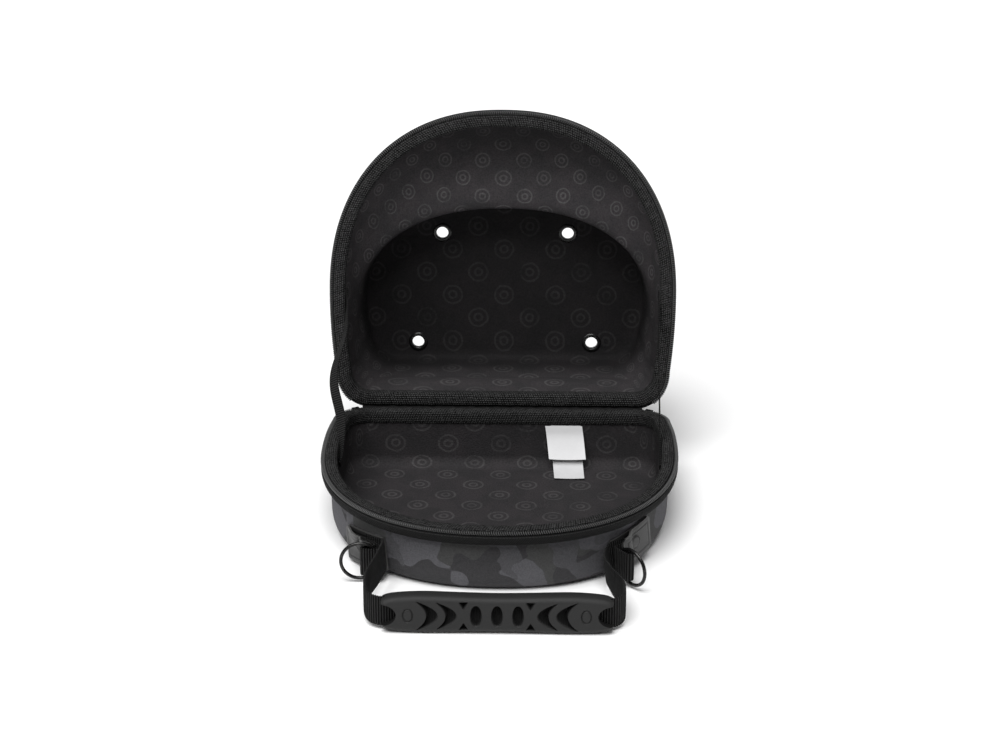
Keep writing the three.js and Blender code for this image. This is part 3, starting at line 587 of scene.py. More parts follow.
def coated_leather():
    hide = Finish("coated_leather")
    u, v = hide.cloth_uv()
    ends = u.math("MINIMUM", PATCH_LENGTH * MM - u)
    sides = v.math("MINIMUM", PATCH_HEIGHT * MM - v)
    edge = ends.math("MINIMUM", sides)
    grain = hide.node("ShaderNodeTexVoronoi", None, {"Vector": hide.place(), "Scale": 1300.0})
    mottle = hide.noise(160.0, 4.0, 0.6)
    # Paler towards every edge of the patch
    pale_edge = 1 - (edge + mottle * 0.0008).between(0.0007, 0.0015)
    groove = edge.between(0.0030, 0.0036) * (1 - edge.between(0.0046, 0.0052))
    body = hide.shade(grey(0.021, (1.0, 0.99, 0.99)), mottle * 0.5 + 0.75)
    colour = hide.mix(groove * 0.95, body, grey(0.005))
    colour = hide.mix(pale_edge * 0.75, colour, grey(0.085, (1.0, 1.0, 0.98)))
    height = grain * 0.25 - groove * 2.0 + mottle * 0.3
    return hide.done(colour, mottle * 0.2 + 0.42, height, 0.0005)


def matte_rubber():
    rubber = Finish("matte_rubber")
    hollow, across = rubber.cloth_uv()
    mottle = rubber.noise(120.0, 3.0, 0.6)
    pebble = rubber.noise(2200.0, 1.0, 0.5)
    lines = wave(across, 0.0013)
    # Painted shade: the windows' floors are darkened by their depth
    deep_mask_and_painted_shade = hollow.between(0.0006, 0.0026)
    face = rubber.shade(grey(0.0125), mottle * 0.25 + 0.88)
    colour = rubber.mix(deep_mask_and_painted_shade, face, rubber.shade(grey(0.0008), lines * 1.6 + 0.2))
    roughness = mottle * 0.12 + 0.5 + deep_mask_and_painted_shade * 0.4
    return rubber.done(colour, roughness, pebble + lines * deep_mask_and_painted_shade * 2.5, 0.00025, **RUBBER_GLOSS)


def dark_metal():
    metal = Finish("dark_metal")
    rub = metal.noise(260.0, 4.0, 0.6)
    colour = metal.mix(rub.between(0.45, 0.75), grey(0.025), grey(0.06, (1.0, 0.98, 0.95)))
    return metal.done(colour, rub * 0.2 + 0.16, rub, 0.0001, metallic=0.85)


def coil_nylon():
    nylon = Finish("coil_nylon")
    haze = nylon.noise(700.0, 2.0, 0.5)
    colour = nylon.shade(grey(0.080), haze * 0.6 + 0.7)
    return nylon.done(colour, haze * 0.15 + 0.33, haze, 0.0001)


def sewing_thread():
    thread = Finish("sewing_thread")
    twist = thread.noise(2400.0, 2.0, 0.5)
    colour = thread.shade(grey(0.028), twist * 0.8 + 0.6)
    return thread.done(colour, 0.6, twist, 0.0002, **CLOTH_GLOSS)


SATIN = label_satin("label_satin", 0.74)
# A greyer copy of the same satin for the lower label: painted shade
SHADED_SATIN = label_satin("lower_label_satin_painted_shade", 0.56)
LEATHER = coated_leather()
RUBBER = matte_rubber()
METAL = dark_metal()
NYLON = coil_nylon()
THREAD = sewing_thread()

# %% [markdown]
# ## The moulded shells
# Each shell is pressed in a mould: its inner face is a stack of D outlines that change with depth.
# The tray's go straight down to a round fillet. The lid's begin as the rim's D and blend into a
# smaller D, which leaves the domed shoulder in front of the deep well. A smooth curve through the
# rows' numbers makes the mould's soft form, and the outer face lies one wall further out.

# %% Shells
SHELL_FINENESS = 6
FLOOR_SHARES = (0.93, 0.78, 0.58, 0.36, 0.16, 0.05)


def moulded_shell(outlines, depths, place):
    """A closed shell from the outlines of its inner face, with a UV map of the flat cloth."""
    outward = -inward(outlines[0])
    rise = np.concatenate([np.cumsum(np.abs(np.diff(depths))[::-1])[::-1], [0]])
    flat = outlines + outward[None] * rise[:, None, None]
    inner = np.concatenate([outlines, depths[:, None, None] * np.ones_like(outlines[..., :1])], axis=2)
    down = np.gradient(inner, axis=0)
    around = np.roll(inner, -1, axis=1) - np.roll(inner, 1, axis=1)
    normal = units(np.cross(down, around))
    side = np.sign((normal[2, :, :2] * outward).sum())
    normal *= side
    normal[0, :, 2] = 0
    normal[-1] = (0, 0, 1)
    outer = inner + units(normal) * WALL

    def floor(rows, level):
        middle = np.array([0, rows[:, 1].mean()])
        high = np.full(len(rows), level)
        return [np.column_stack([middle + (rows - middle) * share, high]) for share in FLOOR_SHARES]

    inner_floor = floor(outlines[-1], depths[-1])
    outer_floor = floor(outer[-1][:, :2], depths[-1] + WALL)
    profile = np.array([*inner_floor[::-1], *inner[::-1], *outer, *outer_floor])
    uv = np.array([
        *[ring[:, :2] for ring in inner_floor[::-1]], *flat[::-1], *flat,
        *[ring[:, :2] for ring in outer_floor],
    ]) * MM
    rings = place(profile[..., 0], profile[..., 1], profile[..., 2]).transpose(1, 0, 2)
    shape = strip_mesh(rings, closed_path=True, closed_section=False, uv=uv.transpose(1, 0, 2))
    inside = len(inner_floor) + len(inner)
    return shape, inside, profile.shape[0]


def shell_mesh(name, outlines, depths, place):
    """A shell whose inner faces have the first finish and whose outer faces have the second."""
    shape, inside, columns = moulded_shell(outlines, depths, place)
    mesh = plain_mesh(name, shape)
    quads = [face for face in shape[1] if len(face) == 4]
    sides = [0 if min(index % columns for index in face) < inside else 1 for face in quads]
    middles = [0, 1]
    mesh.polygons.foreach_set("material_index", sides + middles)
    return mesh


cavity = inset(d_outline(HALF_WIDTH, 0, 2 * HALF_DEPTH, SHELL_FINENESS), CAVITY_INSET)
TRAY_FLOOR = TRAY_HEIGHT - WALL
FILLET = 10.5
WALL_DRAFT = 0.8
fillet = [
    (WALL_DRAFT + FILLET * (1 - math.cos(a)), TRAY_FLOOR - FILLET * (1 - math.sin(a)))
    for a in np.linspace(0, math.pi / 2, 9)
]
wall = [(0, RIM_CLEAR), (0, 0.12 * TRAY_FLOOR), (0.1, 0.3 * TRAY_FLOOR), (0.4, 0.55 * TRAY_FLOOR)]
tray_rows = np.array([*wall, *fillet])
tray_outlines = np.array([inset(cavity, draft) for draft, _ in tray_rows])
tray_mesh = shell_mesh("tray_shell", tray_outlines, tray_rows[:, 1], on_tray)
piece("tray_shell", tray_mesh, [LINING, CAMOUFLAGE], ["base_shell"])

# Columns: depth, blend from the rim's D to the well's, draft
LID_ROWS = [
    (0.02, 0, 0), (0.13, 0, 0), (0.24, 0.03, 0.2), (0.33, 0.12, 0.35), (0.42, 0.32, 0.35),
    (0.49, 0.62, 0.25), (0.535, 0.86, 0.1), (0.565, 0.95, 0.05), (0.61, 1, 0.1), (0.75, 1, 0.35),
    (0.93, 1, 0.5), (0.98, 1, 0.7), (1, 1, 1),
]
LID_DRAFT = 8.0
WELL_HALF_WIDTH = 129.0
WELL_REAR = 13.0
WELL_FRONT = 163.0
well = d_outline(WELL_HALF_WIDTH, WELL_REAR, WELL_FRONT, SHELL_FINENESS)
lid_rows = smooth_path(LID_ROWS, 4)
lid_outlines = np.array([
    inset(cavity + (well - cavity) * blend, draft * LID_DRAFT) for _, blend, draft in lid_rows
])
lid_mesh = shell_mesh("lid_shell_cloth", lid_outlines, lid_rows[:, 0] * LID_DEPTH, on_lid)

# %% [markdown]
# ## Holes and eyelets
# Four metal eyelets pierce the lid's floor, so light shows through them. The holes are cut with the
# Boolean modifier. Each eyelet is a turned profile: a rolled flange on either side of the wall, and a
# barrel between them.

# %% Eyelet holes
EYELETS = [(-0.373, 0.804), (0.373, 0.804), (-0.52, 0.19), (0.52, 0.19)]
EYELET_SPOTS = [(x * HALF_WIDTH, s * WELL_FRONT) for x, s in EYELETS]
EYELET_NODES = ["eyelet_upper_left", "eyelet_upper_right", "eyelet_lower_left", "eyelet_lower_right"]
EYELET_PROFILE = [
    (5.3, -0.5), (5.6, -0.95), (6.3, -1.15), (7.3, -1.0), (8.2, -0.65), (8.6, -0.25), (8.5, 0.0),
    (6.1, 0.0), (6.1, 4.1), (8.5, 4.2), (8.6, 4.5), (8.0, 4.9), (6.4, 5.3), (5.5, 5.1), (5.3, 4.6),
]
HOLE_PROFILE = [(6.4, -6.0), (6.4, 12.0)]


def lathe(profile, steps):
    turn = np.arange(steps) / steps * 2 * math.pi
    profile = np.asarray(profile, float)
    rings = np.stack([
        profile[None, :, 0] * np.cos(turn)[:, None],
        profile[None, :, 0] * np.sin(turn)[:, None],
        np.broadcast_to(profile[None, :, 1], (steps, len(profile))),
    ], axis=-1)
    return rings * MM


def turned_body(profile, steps):
    """A closed body from a profile whose ends lie near the axis or make a flat face."""
    return strip_mesh(lathe(profile, steps), closed_path=True, closed_section=False)


def turned(shape, centre, axis):
    """Moves a shape made round Z so that its Z points along an axis."""
    axis = units(np.asarray(axis, float))
    side = units(np.cross(axis, UP if abs(axis[2]) < 0.9 else ACROSS))
    basis = np.array([side, np.cross(axis, side), axis])
    points, faces, face_uv = shape
    return points @ basis + np.asarray(centre), faces, face_uv


def evaluated_mesh(owner):
    bpy.context.view_layer.update()
    result = bpy.data.meshes.new_from_object(owner.evaluated_get(bpy.context.evaluated_depsgraph_get()))
    bpy.data.objects.remove(owner)
    return result


def cut(mesh, cutter_shapes):
    target = new_object("cut_target", mesh)
    cutter = new_object("cutter", plain_mesh("cutter", joined(cutter_shapes)))
    boolean = target.modifiers.new("holes", "BOOLEAN")
    boolean.solver = "EXACT"
    boolean.operation = "DIFFERENCE"
    boolean.object = cutter
    result = evaluated_mesh(target)
    bpy.data.objects.remove(cutter)
    result.set_sharp_from_angle(angle=math.radians(40))
    return result


def at_eyelets(shape):
    return [turned(shape, on_lid(x, s, LID_DEPTH), LID_IN) for x, s in EYELET_SPOTS]


lid_mesh.materials.append(LID_LINING)
lid_mesh.materials.append(CAMOUFLAGE)
lid_mesh = cut(lid_mesh, at_eyelets(turned_body(HOLE_PROFILE, 40)))
piece("lid_shell_cloth", lid_mesh, [], ["lid_shell"])
eyelet = strip_mesh(lathe(EYELET_PROFILE, 40), closed_path=True)
piece("eyelets", joined(at_eyelets(eyelet)), [METAL], EYELET_NODES)

# %% [markdown]
# ## Geometry Nodes for what repeats
# Zip teeth and stitches are all one small shape that is set along a path. The tree below takes the
# path, samples it at a pitch, turns each copy so that it runs along the path with one side facing
# outwards, and ends in Realize Instances and Set Material. The direction outwards is kept on the
# path's points as an attribute. Sizes are inputs of the tree, and each use sets them by the socket's
# identifier.

# %% A tree that sets a shape along a path


TREE_INPUTS = {
    "Path": "Geometry", "Shape": "Object", "Pitch": "Float", "Lean": "Float", "Material": "Material",
}


def repeat_tree(name):
    tree = bpy.data.node_groups.new(name, "GeometryNodeTree")
    for label, kind in TREE_INPUTS.items():
        tree.interface.new_socket(label, in_out="INPUT", socket_type=f"NodeSocket{kind}")
    tree.interface.new_socket("Result", in_out="OUTPUT", socket_type="NodeSocketGeometry")

    def node(kind, settings=None, sockets=None):
        made = tree.nodes.new(kind)
        for key, value in (settings or {}).items():
            setattr(made, key, value)
        for key, value in (sockets or {}).items():
            if isinstance(value, bpy.types.NodeSocket):
                tree.links.new(value, made.inputs[key])
            else:
                made.inputs[key].default_value = value
        return made.outputs

    inputs = node("NodeGroupInput")
    curve = node("GeometryNodeMeshToCurve", None, {0: inputs["Path"]})
    pitch = {"Curve": curve[0], "Length": inputs["Pitch"]}
    sampled = node("GeometryNodeResampleCurve", {"mode": "LENGTH"}, pitch)
    shape = node("GeometryNodeObjectInfo", {"transform_space": "ORIGINAL"}, {"Object": inputs["Shape"]})
    tangent = node("GeometryNodeInputTangent")
    outward = node("GeometryNodeInputNamedAttribute", {"data_type": "FLOAT_VECTOR"}, {"Name": "outward"})
    along = node("FunctionNodeAlignRotationToVector", {"axis": "Z"}, {"Vector": tangent[0]})
    facing = node(
        "FunctionNodeAlignRotationToVector", {"axis": "X", "pivot_axis": "Z"},
        {"Rotation": along[0], "Vector": outward[0]},
    )
    lean = node("FunctionNodeAxisAngleToRotation", None, {"Axis": (1.0, 0.0, 0.0), "Angle": inputs["Lean"]})
    leaning = node(
        "FunctionNodeRotateRotation", {"rotation_space": "LOCAL"},
        {"Rotation": facing[0], "Rotate By": lean[0]},
    )
    copies = node(
        "GeometryNodeInstanceOnPoints", None,
        {"Points": sampled[0], "Instance": shape["Geometry"], "Rotation": leaning[0]},
    )
    real = node("GeometryNodeRealizeInstances", None, {0: copies[0]})
    smooth = node("GeometryNodeSetShadeSmooth", None, {0: real[0]})
    painted = node("GeometryNodeSetMaterial", None, {"Geometry": smooth[0], "Material": inputs["Material"]})
    node("NodeGroupOutput", None, {"Result": painted[0]})
    return tree


REPEAT = repeat_tree("set_along_path")


def set_along(path, outward, shape, pitch, lean, material, closed=False):
    """A plain mesh of one small shape, repeated along a path."""
    mesh = bpy.data.meshes.new("path")
    count = len(path)
    edges = [(k, k + 1) for k in range(count - 1)] + ([(count - 1, 0)] if closed else [])
    mesh.from_pydata(path.tolist(), edges, [])
    layer = mesh.attributes.new("outward", "FLOAT_VECTOR", "POINT")
    layer.data.foreach_set("vector", np.asarray(outward, np.float32).ravel())
    owner = new_object("path", mesh)
    modifier = owner.modifiers.new("repeat", "NODES")
    modifier.node_group = REPEAT
    names = {item.name: item.identifier for item in REPEAT.interface.items_tree if item.in_out == "INPUT"}
    modifier[names["Shape"]] = shape
    modifier[names["Pitch"]] = pitch
    modifier[names["Lean"]] = lean
    modifier[names["Material"]] = material
    result = evaluated_mesh(owner)
    print("repeated along", round(lengths(path)[-1] * 1000), "mm:", len(result.polygons), "faces")
    return result

# %% [markdown]
# ## Binding, zip tape and zip
# Everything at the rim is swept along the same D. The binding is a soft tape folded over the shell's
# edge, and it puckers a little between its stitches. The zip tape wraps a welt and slopes back to the
# wall. The coil is a nylon spiral: here a small open ring for each turn, leaning as the turns do,
# round a dark cord.

# %% Rim sweeps
BINDING_SECTION = [
    (4.15, 1.65), (3.85, 0.9), (4.2, 0.1), (5.3, -0.5), (7.2, -0.8), (9.4, -0.85), (11.4, -0.6),
    (12.8, -0.1), (13.6, 0.8), (13.95, 2.2), (13.9, 4.5), (13.8, 7.2), (13.75, 9.8), (13.4, 10.9),
    (12.7, 10.9), (12.35, 10.0), (12.3, 6.0), (12.3, 2.4), (11.9, 1.75), (8.0, 1.7),
]
TAPE_SECTION = [
    (4.2, 2.05), (7.6, 2.05), (7.6, 8.0), (7.6, 13.4), (6.8, 13.7), (5.2, 13.4), (3.4, 12.7), (1.9, 11.6),
    (0.9, 10.0), (0.4, 8.2), (0.35, 6.6), (0.6, 5.4), (1.1, 4.6), (1.9, 4.2), (3.6, 4.1),
]


def zip_part(values, start):
    """The rows of the rim that the zip or its tape runs along."""
    keep = (spots > start) & (spots < RIM_LENGTH - REAR_LENGTH - start)
    return values[keep]


def rim_lines(section, place, start=None, swell=None):
    """Lines along the rim, one for each point of a section: its place inwards and down from the edge."""
    rows = np.array([RIM + RIM_INWARD * distance for distance, _ in section])
    depths = np.array([depth for _, depth in section])[:, None] * np.ones(RIM_STEPS)
    if swell is not None:
        depths = depths - np.clip(1 - depths / 3, 0, 1) * swell
        down_the_leg = (np.clip(depths, 2, 9)[..., None] - 2) / 7
        rows = rows + RIM_INWARD[None] * down_the_leg * swell[None, :, None] * 0.6
    rings = place(rows[..., 0], rows[..., 1], depths).transpose(1, 0, 2)
    return rings if start is None else zip_part(rings, start)


def rim_line(spot, place, start=None):
    """One line along the rim, and the directions that point outwards from it."""
    line = rim_lines([spot], place, start)[:, 0]
    return line, units(line - rim_lines([(spot[0] + 1, spot[1])], place, start)[:, 0])


def pucker(waves, strength):
    turn = np.arange(RIM_STEPS) / RIM_STEPS * 2 * math.pi
    total = np.zeros(RIM_STEPS)
    for count in waves:
        total += np.sin(turn * count + noise.uniform(0, 6.28)) * noise.uniform(0.6, 1.0)
    return total * strength / len(waves)


COIL_CENTRE = (1.9, 1.9)


def round_section(centre, radius, steps):
    turn = np.arange(steps) / steps * 2 * math.pi
    return [(centre[0] + radius * math.cos(a), centre[1] + radius * math.sin(a)) for a in turn]


COIL_RADIUS = 1.45
CORD_RADIUS = 0.8
TOOTH_WIRE = 0.34
TOOTH_PITCH = 0.0018
TOOTH_LEAN = math.radians(24)
WELT_SEAM = (0.62, 5.1)
WELT_STITCH = 0.0026
BINDING_SEAM = (13.95, 8.6)
BINDING_STITCH = 0.0034
STITCH_PROFILE = [(0.02, -1.0), (0.24, -0.8), (0.3, 0.0), (0.24, 0.8), (0.02, 1.0)]
one_turn = lathe(round_section((COIL_RADIUS, 0.0), TOOTH_WIRE, 5), 10)
tooth = new_object("tooth", plain_mesh("tooth", strip_mesh(one_turn, closed_path=True)))
stitch = new_object("stitch", plain_mesh("stitch", turned_body(STITCH_PROFILE, 5)))

for half, place in (("base", on_tray), ("lid", on_lid)):
    swell = pucker((97, 71, 128, 43), 0.9)
    binding = strip_mesh(rim_lines(BINDING_SECTION, place, swell=swell), closed_path=True)
    piece(f"{half}_binding_cloth", binding, [BINDING], [f"{half}_binding"])
    tape = strip_mesh(rim_lines(TAPE_SECTION, place, TAPE_START))
    piece(f"{half}_zip_tape_cloth", tape, [TAPE], [f"{half}_zip_tape"])
    cord = strip_mesh(rim_lines(round_section(COIL_CENTRE, CORD_RADIUS, 8), place, ZIP_START))
    piece(f"{half}_zip_cord", cord, [CORD])
    coil, outward = rim_line(COIL_CENTRE, place, ZIP_START)
    teeth = set_along(coil, outward, tooth, TOOTH_PITCH, TOOTH_LEAN, NYLON)
    piece(f"{half}_zip_teeth", teeth, [], [f"{half}_zip_coil"])
    welt_seam, _ = rim_line(WELT_SEAM, place, ZIP_START)
    row = set_along(welt_seam, outward, stitch, WELT_STITCH, 0.0, THREAD)
    piece(f"{half}_welt_stitches", row, [])
    binding_seam, outward = rim_line(BINDING_SEAM, place)
    row = set_along(binding_seam, outward, stitch, BINDING_STITCH, 0.0, THREAD, closed=True)
    piece(f"{half}_binding_stitches", row, [])

# %% [markdown]
# ## Hinge strip, stays and labels
# These are plain cloth sheets. The hinge is a strip that is sewn down the rear walls and folds at the
# rims. The stays are narrow tapes that hold the lid at its opening angle, and the left one bows out.
# Two satin labels are caught under the rear binding and curl on to the tray's floor. Each is a grid
# of points along its path and across its width, given its thickness on both sides.

# %% Cloth sheets


def hinge_line():
    half = np.array([(7.0, 22.0), (7.0, 12.0), (7.0, 3.6), (6.2, 2.7), (3.0, 2.7)])
    tray = on_tray(0.0, half[:, 0], half[:, 1])
    lid = on_lid(0.0, half[:, 0], half[:, 1])
    return evenly(smooth_path(np.vstack([tray, lid[::-1]]), 6), 0.0015)


HINGE_WIDTH = 0.244
hinge_path = hinge_line()
hinge_surface = band_surface(hinge_path, ACROSS, HINGE_WIDTH, 66)
hinge = piece("hinge_cloth", thick_sheet(hinge_surface, 1.1 * MM), [TAPE], ["hinge_strip"])

BINDING_INNER = 13.7
STAY_WIDTH = 0.010
STAY_THICK = np.array([0.8, 1.1, 1.1, 1.1, 1.1, 1.1, 0.8]) * MM
STAY_X = HALF_WIDTH - BINDING_INNER - 0.3 - 1.2


def stay_path(sign, bow):
    foot = on_tray(0.0, 100.0, 15.0)
    top = on_lid(0.0, 99.0, 13.0)
    share = np.linspace(0, 1, 60)
    free = np.clip((share - 0.2) / 0.6, 0, 1)
    path = foot + (top - foot) * share[:, None]
    path[:, 0] = sign * (STAY_X + bow * np.sin(math.pi * free) ** 2) * MM
    return path


for name, sign, bow, turned_by in (("left", -1, 8.5, 50.0), ("right", 1, 0.0, 0.0)):
    path = stay_path(sign, bow)
    tangent = units(np.gradient(path, axis=0))
    edge_on = np.cross(ACROSS, tangent)
    twist = np.radians(turned_by) * np.sin(math.pi * np.linspace(0, 1, len(path)) ** 0.6)[:, None]
    wide = edge_on * np.cos(twist) + np.array(ACROSS) * np.sin(twist)
    strip = thick_sheet(band_surface(path, wide, STAY_WIDTH, len(STAY_THICK)), STAY_THICK)
    stay = piece(f"stay_tape_{name}", strip, [WEBBING], [f"stay_{name}"])

# Rows of a label: its place off the rear wall and its height, both as shares of the tray's height
LOWER_LABEL = [(0.0145, 0.775), (0.028, 0.58), (0.078, 0.38), (0.155, 0.215), (0.293, 0.121), (0.517, 0.09)]
UPPER_LABEL = [(0.038, 0.775), (0.062, 0.62), (0.125, 0.45), (0.215, 0.27)]
LABEL_SLANT = 3.5
LABEL_COLUMNS = 17
# Name, rows, width, place in x, how far the sides curl, and finish
LABELS = (
    ("upper", UPPER_LABEL, 32.0, 53.6, 1.2, SATIN),
    ("lower", LOWER_LABEL, 26.0, 55.35, 0.8, SHADED_SATIN),
)


def label_surface(rows, width, x, curl):
    slant = LABEL_SLANT * np.arange(len(rows)) / (len(rows) - 1)
    off, high = np.array(rows).T
    points = np.column_stack([x + slant, CAVITY_INSET + off * TRAY_HEIGHT, (1 - high) * TRAY_HEIGHT])
    path = on_tray(*evenly(smooth_path(points, 8), 1.0).T)
    surface = band_surface(path, ACROSS, width * MM, LABEL_COLUMNS)
    across = np.linspace(-1, 1, LABEL_COLUMNS)
    along = np.linspace(0, 1, len(path)) ** 2
    lift = curl * (across ** 2)[None] * along[:, None] * MM
    surface[..., 1] -= lift * 0.6
    surface[..., 2] += lift * 0.8
    return surface, lengths(path)[-1]


for name, rows, width, x, curl, finish in LABELS:
    surface, length = label_surface(rows, width, x, curl)
    shape = thick_sheet(surface, 0.35 * MM)
    satin = piece(f"label_satin_{name}", shape, [finish], [f"label_{name}"])

# %% [markdown]
# ## The two anchors of the handle
# On each side of the front a leather backing, the webbing, a ring's loop and a leather front layer
# lie over one another against the wall. Places there are easiest to say along the wall from the
# patch's inner edge and out from the wall, so one function walks the wall's line.

# %% Places along the tray's wall
wall_line = inset(d_outline(HALF_WIDTH, 0, 2 * HALF_DEPTH, 4), SHELL_INSET)
edge_step = next(k for k, (x, s) in enumerate(wall_line) if s > HALF_DEPTH and x < 97.0)
wall_lengths = lengths(wall_line)
wall_out = -inward(wall_line)


def wall_spot(along, out, height, sign=1):
    """A point by its place along the wall, its distance from it and its height."""
    along, out, height = np.broadcast_arrays(np.asarray(along, float), out, height)
    at = wall_lengths[edge_step] + along
    x, s = (np.interp(at, wall_lengths, wall_line[:, axis]) for axis in (0, 1))
    nx, ns = (np.interp(at, wall_lengths, wall_out[:, axis]) for axis in (0, 1))
    return np.stack([sign * (x + nx * out), HALF_DEPTH - (s + ns * out), height], axis=-1) * MM


# %% [markdown]
# ## Leather patches
# Each anchor is sewn on by hand, so neither sits level: the left one is turned 6 degrees and the right
# one 9. The front layer lies flat on the backing at its outer end and lifts over the webbing at its
# inner end. On the left its top edge has come away in a wave and curled over, as leather does that is
# pulled. The curl is a bend of the grid round a small cylinder, so no leather is stretched. The grid's
# columns are shortened near its corners, which rounds them.

# %% Leather patches
BACKING_OUT = 1.0
ANCHORS = {
    "left": {"sign": -1, "turn": math.radians(6.0), "along": -13.0, "height": 19.4},
    "right": {"sign": 1, "turn": math.radians(-9.0), "along": -17.5, "height": 23.7},
}
OUTER_END = -24.0
INNER_END = 16.0
LIFT_ALONG = [-40.0, -18.5, -17.0, -15.0, -13.0, -11.4, -9.4, -7.6, 3.0]
LIFT_OUT = [2.7, 2.7, 2.9, 3.7, 5.3, 6.8, 8.1, 8.7, 9.0]
WAVE_ACROSS = [-24.0, -20.0, -15.0, -9.0, -3.0, 1.0, 4.0, 6.5, 10.0, 16.0]
WAVE_OUT = [2.7, 3.3, 5.0, 7.6, 9.8, 10.9, 11.2, 8.6, 7.8, 8.8]
CURL_START = 8.4
CURL_RADIUS = 2.7


def anchor_spot(anchor, across, up, out):
    """A place on an anchor, from its middle: across towards the case's front, and up."""
    c, s = math.cos(anchor["turn"]), math.sin(anchor["turn"])
    along = anchor["along"] + across * c - up * s
    return wall_spot(along, out, anchor["height"] + across * s + up * c, anchor["sign"])


def leather_grid(outer, inner, corner, rows=64, columns=46):
    up = np.linspace(-0.5, 0.5, columns) * PATCH_HEIGHT
    from_edge = PATCH_HEIGHT / 2 - np.abs(up)
    short = corner - np.sqrt(np.maximum(corner ** 2 - np.maximum(corner - from_edge, 0) ** 2, 0))
    share = np.linspace(0, 1, rows)[:, None]
    start, end = outer + short[None], inner - short[None]
    return start + (end - start) * share, np.broadcast_to(up, (rows, columns))


def front_layer(anchor, curled):
    across, up = leather_grid(OUTER_END, INNER_END, 3.0)
    uv = np.stack([across - OUTER_END, up + PATCH_HEIGHT / 2], axis=-1) * MM
    out = np.interp(anchor["along"] + across, LIFT_ALONG, LIFT_OUT)
    near_end = np.minimum(across - OUTER_END, INNER_END - across)
    near_edge = np.minimum(near_end, PATCH_HEIGHT / 2 - np.abs(up))
    out = out - (1 - step(near_edge, 0, 1.4)) * 0.35
    if curled:
        out = out + (np.interp(across, WAVE_ACROSS, WAVE_OUT) - out) * step(up, -7.0, 13.0)
        bend = np.maximum(step(across, 4.5, 8.5), 0.001) / CURL_RADIUS
        turn = np.clip(up - CURL_START, 0, None) * bend
        out = out + (1 - np.cos(turn)) / bend
        up = np.minimum(up, CURL_START) + np.sin(turn) / bend
    return anchor_spot(anchor, across, up, out), uv


def backing_layer(anchor):
    across, up = leather_grid(OUTER_END, -OUTER_END, 1.2)
    share = (across - OUTER_END) / (-2 * OUTER_END)
    uv = np.stack([share * PATCH_LENGTH, up + PATCH_HEIGHT / 2], axis=-1) * MM
    return anchor_spot(anchor, across, up, BACKING_OUT), uv


STUD_PROFILE = [
    (0.01, 1.1), (2.5, 1.05), (4.2, 0.95), (4.7, 0.8), (4.95, 0.15), (5.2, 0.15), (5.5, 0.7), (5.9, 0.6),
    (6.2, 0.1), (6.2, -0.3), (0.01, -0.3),
]
STUD_ACROSS = -1.5
STUD_UP = 1.5
PATCH_MIDDLE = np.array([0.5 * PATCH_LENGTH, 0.5 * PATCH_HEIGHT]) * MM
for name, anchor in ANCHORS.items():
    surface, uv = backing_layer(anchor)
    backing = thick_sheet(surface, 1.3 * MM, uv)
    piece(f"backing_leather_{name}", backing, [LEATHER], [f"patch_backing_{name}"])
    surface, uv = front_layer(anchor, name == "left")
    front = thick_sheet(surface, 1.6 * MM, uv)
    piece(f"patch_leather_{name}", front, [LEATHER], [f"patch_{name}"])
    row = int(round((STUD_ACROSS - OUTER_END) / (INNER_END - OUTER_END) * (surface.shape[0] - 1)))
    column = int(round((STUD_UP / PATCH_HEIGHT + 0.5) * (surface.shape[1] - 1)))
    normal = np.cross(np.gradient(surface, axis=0)[row, column], np.gradient(surface, axis=1)[row, column])
    away = wall_spot(anchor["along"], 20.0, anchor["height"], anchor["sign"]) - surface[row, column]
    normal = units(normal) * np.sign(normal @ away)
    disc = turned(turned_body(STUD_PROFILE, 40), surface[row, column] + normal * 0.8 * MM, normal)
    disc = (disc[0], disc[1], [np.tile(PATCH_MIDDLE, (len(corner), 1)) for corner in disc[2]])
    piece(f"stud_leather_{name}", disc, [LEATHER], [f"stud_{name}"])

# %% [markdown]
# ## Webbing with real ribs
# The ribs of the webbing are coarse enough to show in its outline as a row of beads. So the band's
# thickness and width swell a little at each rib, and the band's rows are four to a rib.

# %% A ribbed band


def webbing_band(path, wide, width, thick, columns=13):
    wide = np.broadcast_to(np.asarray(wide, float), path.shape)
    along = lengths(path)
    rows = int(along[-1] / (RIB_PITCH / 4))
    spots_along = np.arange(rows + 1) * RIB_PITCH / 4
    path = np.column_stack([np.interp(spots_along, along, path[:, axis]) for axis in range(3)])
    wide = np.column_stack([np.interp(spots_along, along, wide[:, axis]) for axis in range(3)])
    rib = np.sin(2 * math.pi * spots_along / RIB_PITCH)
    surface = band_surface(path, wide, width + 0.5 * MM * rib, columns)
    across = np.abs(np.linspace(-1, 1, columns))
    thickness = thick * (1 - 0.3 * across ** 6)[None] + 0.34 * MM * rib[:, None]
    uv = np.stack(np.meshgrid(spots_along, np.linspace(0, width, columns), indexing="ij"), axis=-1)
    return thick_sheet(surface, thickness, uv)


# %% [markdown]
# ## Rings and their loops
# Each ring is a plain wire ring that a loop of webbing holds. The webbing is nearly as wide as the
# ring's inside, so the loop's fold lies across the ring's middle, and one half of the ring is hidden
# in the loop. The left ring faces the front, and the right one stands out from the wall. Each loop's
# route is a list of places along the wall and out from it.

